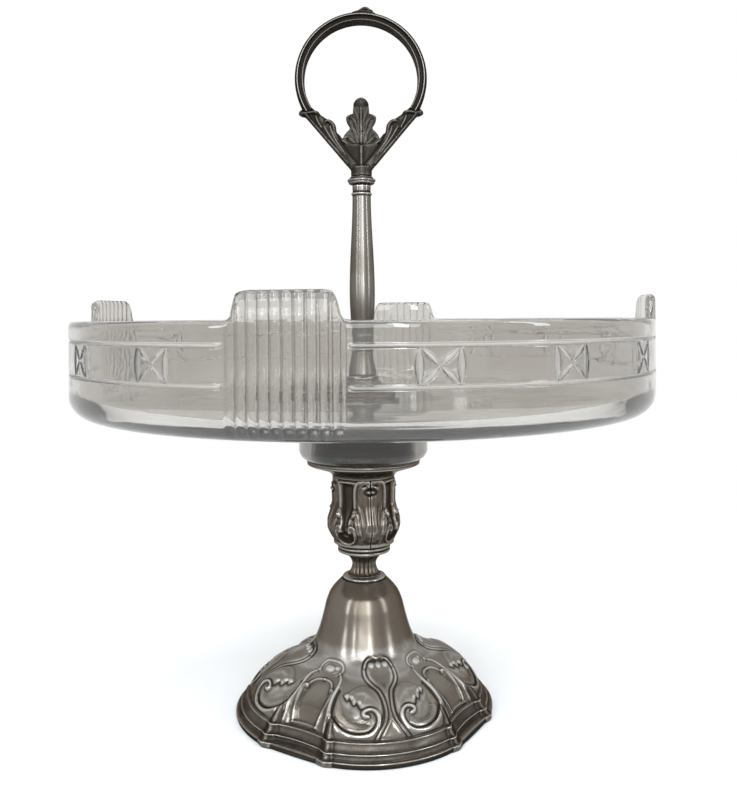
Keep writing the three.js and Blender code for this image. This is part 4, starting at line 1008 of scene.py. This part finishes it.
def swept(build, places, halves, depths, sides=20, power=2.4):
    """A tapering bar through places, its section a rounded box with half widths across and in depth."""
    path = spline(places, 6)
    tangent = np.gradient(path, axis=0)
    tangent /= np.linalg.norm(tangent, axis=1, keepdims=True)
    depth_dir = np.array([0.0, 1.0, 0.0])
    side = np.cross(tangent, depth_dir)
    side /= np.maximum(np.linalg.norm(side, axis=1, keepdims=True), 1e-9)
    angles = np.linspace(0, 2 * np.pi, sides, endpoint=False)
    across, deep = (np.sign(c) * np.abs(c) ** (2 / power) for c in (np.cos(angles), np.sin(angles)))
    points = (path[None] + across[:, None, None] * side[None] * spread(halves, len(path))[None, :, None]
              + deep[:, None, None] * depth_dir * spread(depths, len(path))[None, :, None])
    build.grid(points, (True, False), hollow=0.5, ends=-1)


def read(items, name, width, kind=float):
    values = np.empty(len(items) * width, kind)
    items.foreach_get(name, values)
    return values.reshape(-1, width)


def fused(name, build, voxel, node):
    """The gathered bars melted into one casting of the handle, with hollows from its own curvature."""
    rough = build.done(name + "_rough")
    remesh = rough.modifiers.new("melt", "REMESH")
    remesh.mode, remesh.voxel_size = "VOXEL", voxel
    soften = rough.modifiers.new("soften", "SMOOTH")
    soften.factor, soften.iterations = 0.5, 3
    bpy.context.view_layer.update()
    mesh = bpy.data.meshes.new_from_object(rough.evaluated_get(bpy.context.evaluated_depsgraph_get()))
    bpy.data.objects.remove(rough)
    mesh.name = name
    co, normals = read(mesh.vertices, "co", 3), read(mesh.vertices, "normal", 3)
    edges = read(mesh.edges, "vertices", 2, int)
    mean = co.copy()
    for _ in range(4):
        total, number = np.zeros_like(mean), np.zeros(len(co))
        for a, b in ((0, 1), (1, 0)):
            np.add.at(total, edges[:, a], mean[edges[:, b]])
            np.add.at(number, edges[:, a], 1)
        mean = total / np.maximum(number, 1)[:, None]
    lift = ((mean - co) * normals).sum(axis=1)
    shade_by_hollow(mesh, np.clip(0.70 + lift / MM * 2.0, 0, 1))
    mesh.materials.clear()
    place(in_scene(name, mesh), HANDLE, node)


ARM_TOP = np.array([26.0, 275.2])
ARM_ALONG, ARM_IN = np.array([-0.644, -0.765]), np.array([-0.765, 0.644])


def on_arm(along, across):
    """A place on the right arm's face, from its outer corner down its straight edge and in from that edge."""
    return ARM_TOP + along * ARM_ALONG + across * ARM_IN


def make_fork():
    build = Build()
    base = FORK_BOTTOM

    def bar(side, places, depth_at, halves, depths, sides=16, power=2.2):
        """A bar through (along, across) places of an arm."""
        swept(build, [(side * x, depth_at, z) for x, z in (on_arm(*at) for at in places)], halves, depths,
              sides, power)

    for side in (1, -1):
        # Body of the arm, broad where its leaf lies, then its straight outer edge
        bar(side, [(-1.2, 2.6), (3.5, 2.9), (9.0, 3.7), (12.0, 3.8), (15.5, 3.2), (21, 2.5), (28, 2.2),
                   (34, 2.2)], 0.0,
            [2.3, 2.7, 3.5, 3.6, 3.0, 2.4, 2.2, 2.4], [3.4, 2.8, 2.6, 2.6, 2.6, 2.7, 2.9, 3.4], 24, 2.8)
        bar(side, [(-1.0, 0.5), (8, 0.6), (18, 0.6), (30, 0.7)], 0.0, [0.75, 0.8, 0.8, 0.9],
            [4.2, 3.3, 3.0, 3.2])
        # Small knob outside the ring's end, and the curl inside it
        head = ((28.4, 277.3), (27.2, 276.3), (25.2, 276.2), (22.6, 276.6), (20.6, 276.3), (20.2, 275.2))
        swept(build, [(side * x, 0, z) for x, z in head],
              {0: 1.5, 0.12: 1.3, 0.35: 1.0, 0.75: 1.1, 0.9: 1.2, 1: 1.0},
              {0: 2.4, 0.3: 4.2, 0.8: 4.0, 1: 2.6}, 18, 2.2)
        # Leaf along the inner edge, rolled over at its tip, and veins on both faces
        bar(side, [(24, 3.0), (19, 4.0), (15, 5.2), (12.2, 6.9), (9.6, 6.9), (8.2, 5.6), (9.0, 4.6)], 0.0,
            [0.8, 0.9, 1.0, 1.1, 1.1, 1.0, 0.8], [2.2, 2.6, 2.9, 3.4, 3.5, 3.3, 2.6])
        for depth in (-2.35, 2.35):
            for vein in ([(30, 1.4), (22, 1.9), (15, 2.4), (9.5, 3.4)],
                         [(26, 2.5), (18, 3.4), (13.5, 4.6), (11.2, 5.8)]):
                bar(side, vein, depth, [0.4, 0.45, 0.45, 0.35], [0.75, 0.7, 0.65, 0.5], 10)
            bar(side, [(9.5, 2.0), (5.5, 2.8), (2.8, 4.0)], depth * 1.05, [0.45, 0.5, 0.4],
                [0.8, 0.9, 0.7], 10)
    # Web between the arms, its rib on each face, the fillets in its upper corners, and the root
    swept(build, [(0, 0, base + up) for up in (2.0, 6.0, 11.0, 14.9)], {0: 3.2, 0.3: 5.0, 1: 10.6},
          (2.4, 1.5), 24, 3.0)
    for y in (-1.9, 1.9):
        rib = ((1.2, 3.0), (1.05, 8.0), (0.8, 14.4))
        swept(build, [(0, y * out, base + up) for out, up in rib], (0.5, 0.65), (0.6, 0.6), 10)
    for side in (1, -1):
        corner = ((4.4, 14.8), (7.0, 15.7), (9.4, 17.4), (11.2, 19.4))
        swept(build, [(side * x, 0, base + up) for x, up in corner], (0.7, 1.0), (1.3, 1.3), 12)
    swept(build, [(0, 0, base + up) for up in (0.05, 2.2, 4.6)], (4.9, 4.9), (4.9, 4.9), 24, 2.0)
    fused("fork_cast", build, 0.00034 if FULL else 0.0005, "handle_fork")


LEAF_BOTTOM, LEAF_HEIGHT = 262.2, 21.2
LOW_LOBE, HIGH_LOBE = 2.0, 12.3


def leaf_half_width(rise):
    plain = 5.0 + (3.3 - 5.0) * rise / LEAF_HEIGHT

    def lobe(widest, reach, below, above):
        away = np.where(rise < widest, (widest - rise) / below, (rise - widest) / above)
        return reach * np.clip(1 - away * away, 0, 1)

    tip = np.clip((rise - LEAF_HEIGHT + 3.2) / 3.2, 0, 1)
    return (plain + lobe(LOW_LOBE, 3.8, 1.8, 5.6) + lobe(HIGH_LOBE, 3.0, 5.6, 1.8)) * np.sqrt(1 - tip * tip)


def make_leaf():
    rows, cols = (150, 90) if FULL else (80, 50)
    U, V = np.meshgrid(np.linspace(-1, 1, cols), np.linspace(0, LEAF_HEIGHT * 0.995, rows))
    half_of = leaf_half_width(V)
    x = U * half_of
    side_x, from_top = np.abs(x), V - LEAF_HEIGHT
    lean = -1.6 * (V / LEAF_HEIGHT) ** 2
    # A rib up the middle; veins bend out of it into the lobes, with a furrow on either side
    rib = 0.7 * ridge(side_x, 0.6) * (1 - smooth(LEAF_HEIGHT - 4.2, LEAF_HEIGHT - 3.2, V))
    fan, flat = np.zeros(x.shape), 180 / math.pi
    for line, half, tall in (
        ([(0.9, 1.0), (1.5, 6.0), (2.9, 10.2), (5.9, 13.2)], 0.75, 0.6),
        ([(0.9, 6.5), (1.3, 11.0), (2.3, 14.2), (3.4, 16.6)], 0.6, 0.45),
        ([(1.7, -0.5), (2.6, 4.5), (4.0, 7.6), (4.9, 10.6)], 0.65, 0.45),
        ([(2.6, -0.6), (4.4, 1.6), (6.2, 3.2), (8.3, 3.4)], 0.8, 0.6),
        ([(3.6, -0.8), (5.6, 0.3), (7.8, 1.0)], 0.6, 0.45),
    ):
        d, _ = near(side_x, V, flat, spline(line))
        fan = fan * (1 - 0.6 * smooth(half + 0.5, half, d)) + 0.6 * tall * ridge(d, half * 1.2)
    cup = 0.35 * smooth(0.6, 1.0, np.abs(U)) * (half_of > 5.2)
    roll = 1.0 * smooth(LEAF_HEIGHT - 3.4, LEAF_HEIGHT - 0.6, V) * (1 - 0.3 * U * U)
    roll = roll - 0.25 * hump(from_top, -4.0, 0.6) * (1 - U * U)
    lobe_roll = 0.8 * smooth(0.7, 1.0, np.abs(U)) * (hump(V, 2.2, 1.5) + hump(V, HIGH_LOBE, 1.6))
    edge = np.clip(1 - U * U, 0, 1) ** 0.35
    front = lean - (0.35 + rib + fan + cup + roll + lobe_roll) * edge
    back = lean + (0.75 + 0.3 * hump(x, 0, 1.2)) * edge

    def round_the_leaf(front_values, back_values):
        """Values up the front, then back over the other face without its edges."""
        return np.concatenate([front_values, back_values[:, ::-1][:, 1:-1]], axis=1)

    ring = round_the_leaf(*(np.stack([x, y, LEAF_BOTTOM + V], axis=-1) for y in (front, back)))
    # Painted light: the rib, veins and rolled lobes lighter, the bends behind the lobes darker, the tip dark
    # round a painted highlight, and the back in one shade.
    tip = smooth(LEAF_HEIGHT - 4.4, LEAF_HEIGHT - 3.2, V)
    bend = hump(side_x - half_of, -2.2, 1.1) * (hump(V, 2.4, 1.3) + 0.7 * hump(V, 12.0, 1.2))
    tip_shade = 0.66 + 0.2 * np.abs(U) ** 3 - 0.4 * np.exp(-((x / 1.7) ** 2 + ((from_top + 1.8) / 0.9) ** 2))
    shade = (0.74 - 0.36 * rib - 0.2 * fan - 0.3 * lobe_roll + 0.2 * bend) * (1 - tip) + tip * tip_shade
    shade = round_the_leaf(shade, np.full(x.shape, 0.7))
    own = 0.5 * (1 - round_the_leaf(tip, tip))
    hollow = (1 - own) * shade + own * (hollow_of(ring, (False, True), 2, 1.6) + 0.1)
    cast("leaf_cast", ring, (False, True), HANDLE, "fork_leaf", np.clip(hollow, 0, 1), ends=-1)


def make_crest():
    build = Build()
    seat = 31.1

    def on_ring(across, up):
        angle = math.pi / 2 - across / seat
        return (seat + up) * math.cos(angle), 0.0, RING_CENTRE + (seat + up) * math.sin(angle)

    for path, halves, depth in (
        ([(-4.0, 0.3), (-2.2, 0.55), (0.2, 0.75), (3.0, 0.7), (5.4, 0.5), (7.0, 0.3)],
         (0.3, 0.6, 0.8, 0.7, 0.5, 0.3), 1.7),
        ([(-0.9, 0.9), (0.4, 1.5), (1.8, 2.1), (3.2, 1.9), (3.9, 1.1)], (0.5, 0.8, 1.0, 0.9, 0.7), 1.7),
        ([(3.4, 1.0), (4.3, 1.5), (5.1, 1.3), (5.6, 0.8)], (0.5, 0.6, 0.6, 0.5), 1.5),
    ):
        swept(build, [on_ring(*at) for at in path], halves, (depth, depth), 14, 2.0)
    fused("crest_cast", build, 0.00016, "ring_crest")


# Fasteners

def make_rod():
    """The tie rod with its thread cut: one turn a millimetre."""
    low, top, r, thread_depth, columns = 50.0, 160.4, 3.0, 0.42, 24
    A, Z = np.meshgrid(np.arange(columns) * 360 / columns, np.arange(low, top, 0.22 if FULL else 0.5))
    thread = np.abs((Z + A / 360.0) % 1.0 - 0.5) * 2
    ends = smooth(low, low + 0.8, Z) * (1 - smooth(top - 0.9, top - 0.1, Z))
    R = r - thread_depth * thread - 0.5 * (1 - ends)
    cast("rod_threaded", turned_points(A, R, Z), (False, True), ROD, "tie_rod", 0.35 + 0.5 * thread, ends=-1)


for make in (make_foot, make_neck, make_collar, make_knop, make_saucer, make_plug, make_dish, make_flange,
             make_column, make_cap, make_ring, make_fork, make_leaf, make_crest, make_rod):
    make()
for node, material in (("clamp_washer", brass), ("foot_nut", brass), ("plug_nut", brass),
                       ("column_bush", brass), ("seat_washer", cork), ("handle_washer", cork)):
    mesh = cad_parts[node].data
    mesh.materials.clear()
    mesh.materials.append(material)


# Studio: floor, lights, world and camera

def make_floor():
    """A pale floor that goes over into the white of the world away from the object."""
    mesh = bpy.data.meshes.new("floor")
    s = 6.0
    mesh.from_pydata([(-s, -s, 0), (s, -s, 0), (s, s, 0), (-s, s, 0)], [], [(0, 1, 2, 3)])
    obj = in_scene("floor", mesh)
    material, g = new_material("floor_white")
    g.fill(g.shader, {"Base Color": (0.86, 0.86, 0.86), "Roughness": 0.9})
    length = g.nodes.new("ShaderNodeVectorMath")
    length.operation = "LENGTH"
    g.links.new(g.position(), length.inputs[0])
    away = g.ranged(length.outputs["Value"], 0.16, 0.5, 0.0, 1.0)
    glow = g.add("ShaderNodeEmission", {"Color": (1, 1, 1), "Strength": 1.0})
    g.mix_into("Material Output", g.math("MULTIPLY", g.seen(), away), g.shader, glow)
    mesh.materials.append(material)


def make_lamp(name, place_at, target, size_x, size_y, power, colour=(1, 1, 1)):
    data = bpy.data.lights.new(name, "AREA")
    data.shape = "RECTANGLE"
    data.size, data.size_y, data.energy, data.color = size_x, size_y, power, colour
    obj = in_scene(name, data)
    obj.location = place_at
    obj.rotation_euler = (Vector(target) - Vector(place_at)).to_track_quat("-Z", "Y").to_euler()


def make_world():
    """Soft light all round. The camera, shine and glass see plain white."""
    world = bpy.data.worlds.new("studio")
    bpy.context.scene.world = world
    g = Graph(world, "Background")
    g.fill(g.shader, {"Color": (0.97, 0.98, 1.0), "Strength": 0.62})
    white = g.add("ShaderNodeBackground", {"Color": (1, 1, 1), "Strength": 1.0})
    g.mix_into("World Output", g.seen(), g.shader, white)


def make_camera():
    """The photograph's own camera, worked out from the ellipses of the bowl and the foot."""
    focal_mm, sensor_mm, photo_height, shift_pixels = 38.25, 36.0, 805, 84.3
    data = bpy.data.cameras.new("camera")
    data.lens, data.sensor_width, data.sensor_fit = focal_mm, sensor_mm, "AUTO"
    data.shift_y = -shift_pixels / photo_height
    data.clip_start, data.clip_end = 0.02, 50
    obj = in_scene("camera", data)
    obj.location = (0.00283, -0.4003, 0.1807)
    obj.rotation_mode = "QUATERNION"
    turn = Matrix.Rotation(math.radians(90), 4, "X") @ Matrix.Rotation(math.radians(-0.39), 4, "Z")
    obj.rotation_quaternion = turn.to_quaternion()
    bpy.context.scene.camera = obj


make_floor()
COOL = (0.86, 0.94, 1.0)
STRIP_REACH, STRIP_Z, STRIP_LENGTH = 1.25, 0.72, 1.1
for strip, azimuth, width, power in (("far_left", -50, 0.15, 5.5), ("left", -26, 0.08, 3.8),
                                     ("middle", 13, 0.10, 5.0), ("right", 64, 0.16, 5.5)):
    turn = math.radians(azimuth)
    spot = (STRIP_REACH * math.sin(turn), -STRIP_REACH * math.cos(turn), STRIP_Z)
    make_lamp(strip, spot, (0, 0, 0.12), width, STRIP_LENGTH, power, COOL)
make_lamp("front", (0.05, -1.35, 0.66), (0, 0, 0.1), 0.9, 1.0, 12, (0.90, 0.96, 1.0))
make_lamp("front_wide", (0.0, -1.40, 0.66), (0, 0, 0.1), 2.4, 1.0, 4, COOL)
make_lamp("top", (0.1, 0.1, 1.3), (0, 0, 0.16), 0.8, 0.8, 9)
make_world()
make_camera()
bpy.context.scene.view_settings.view_transform = "Standard"
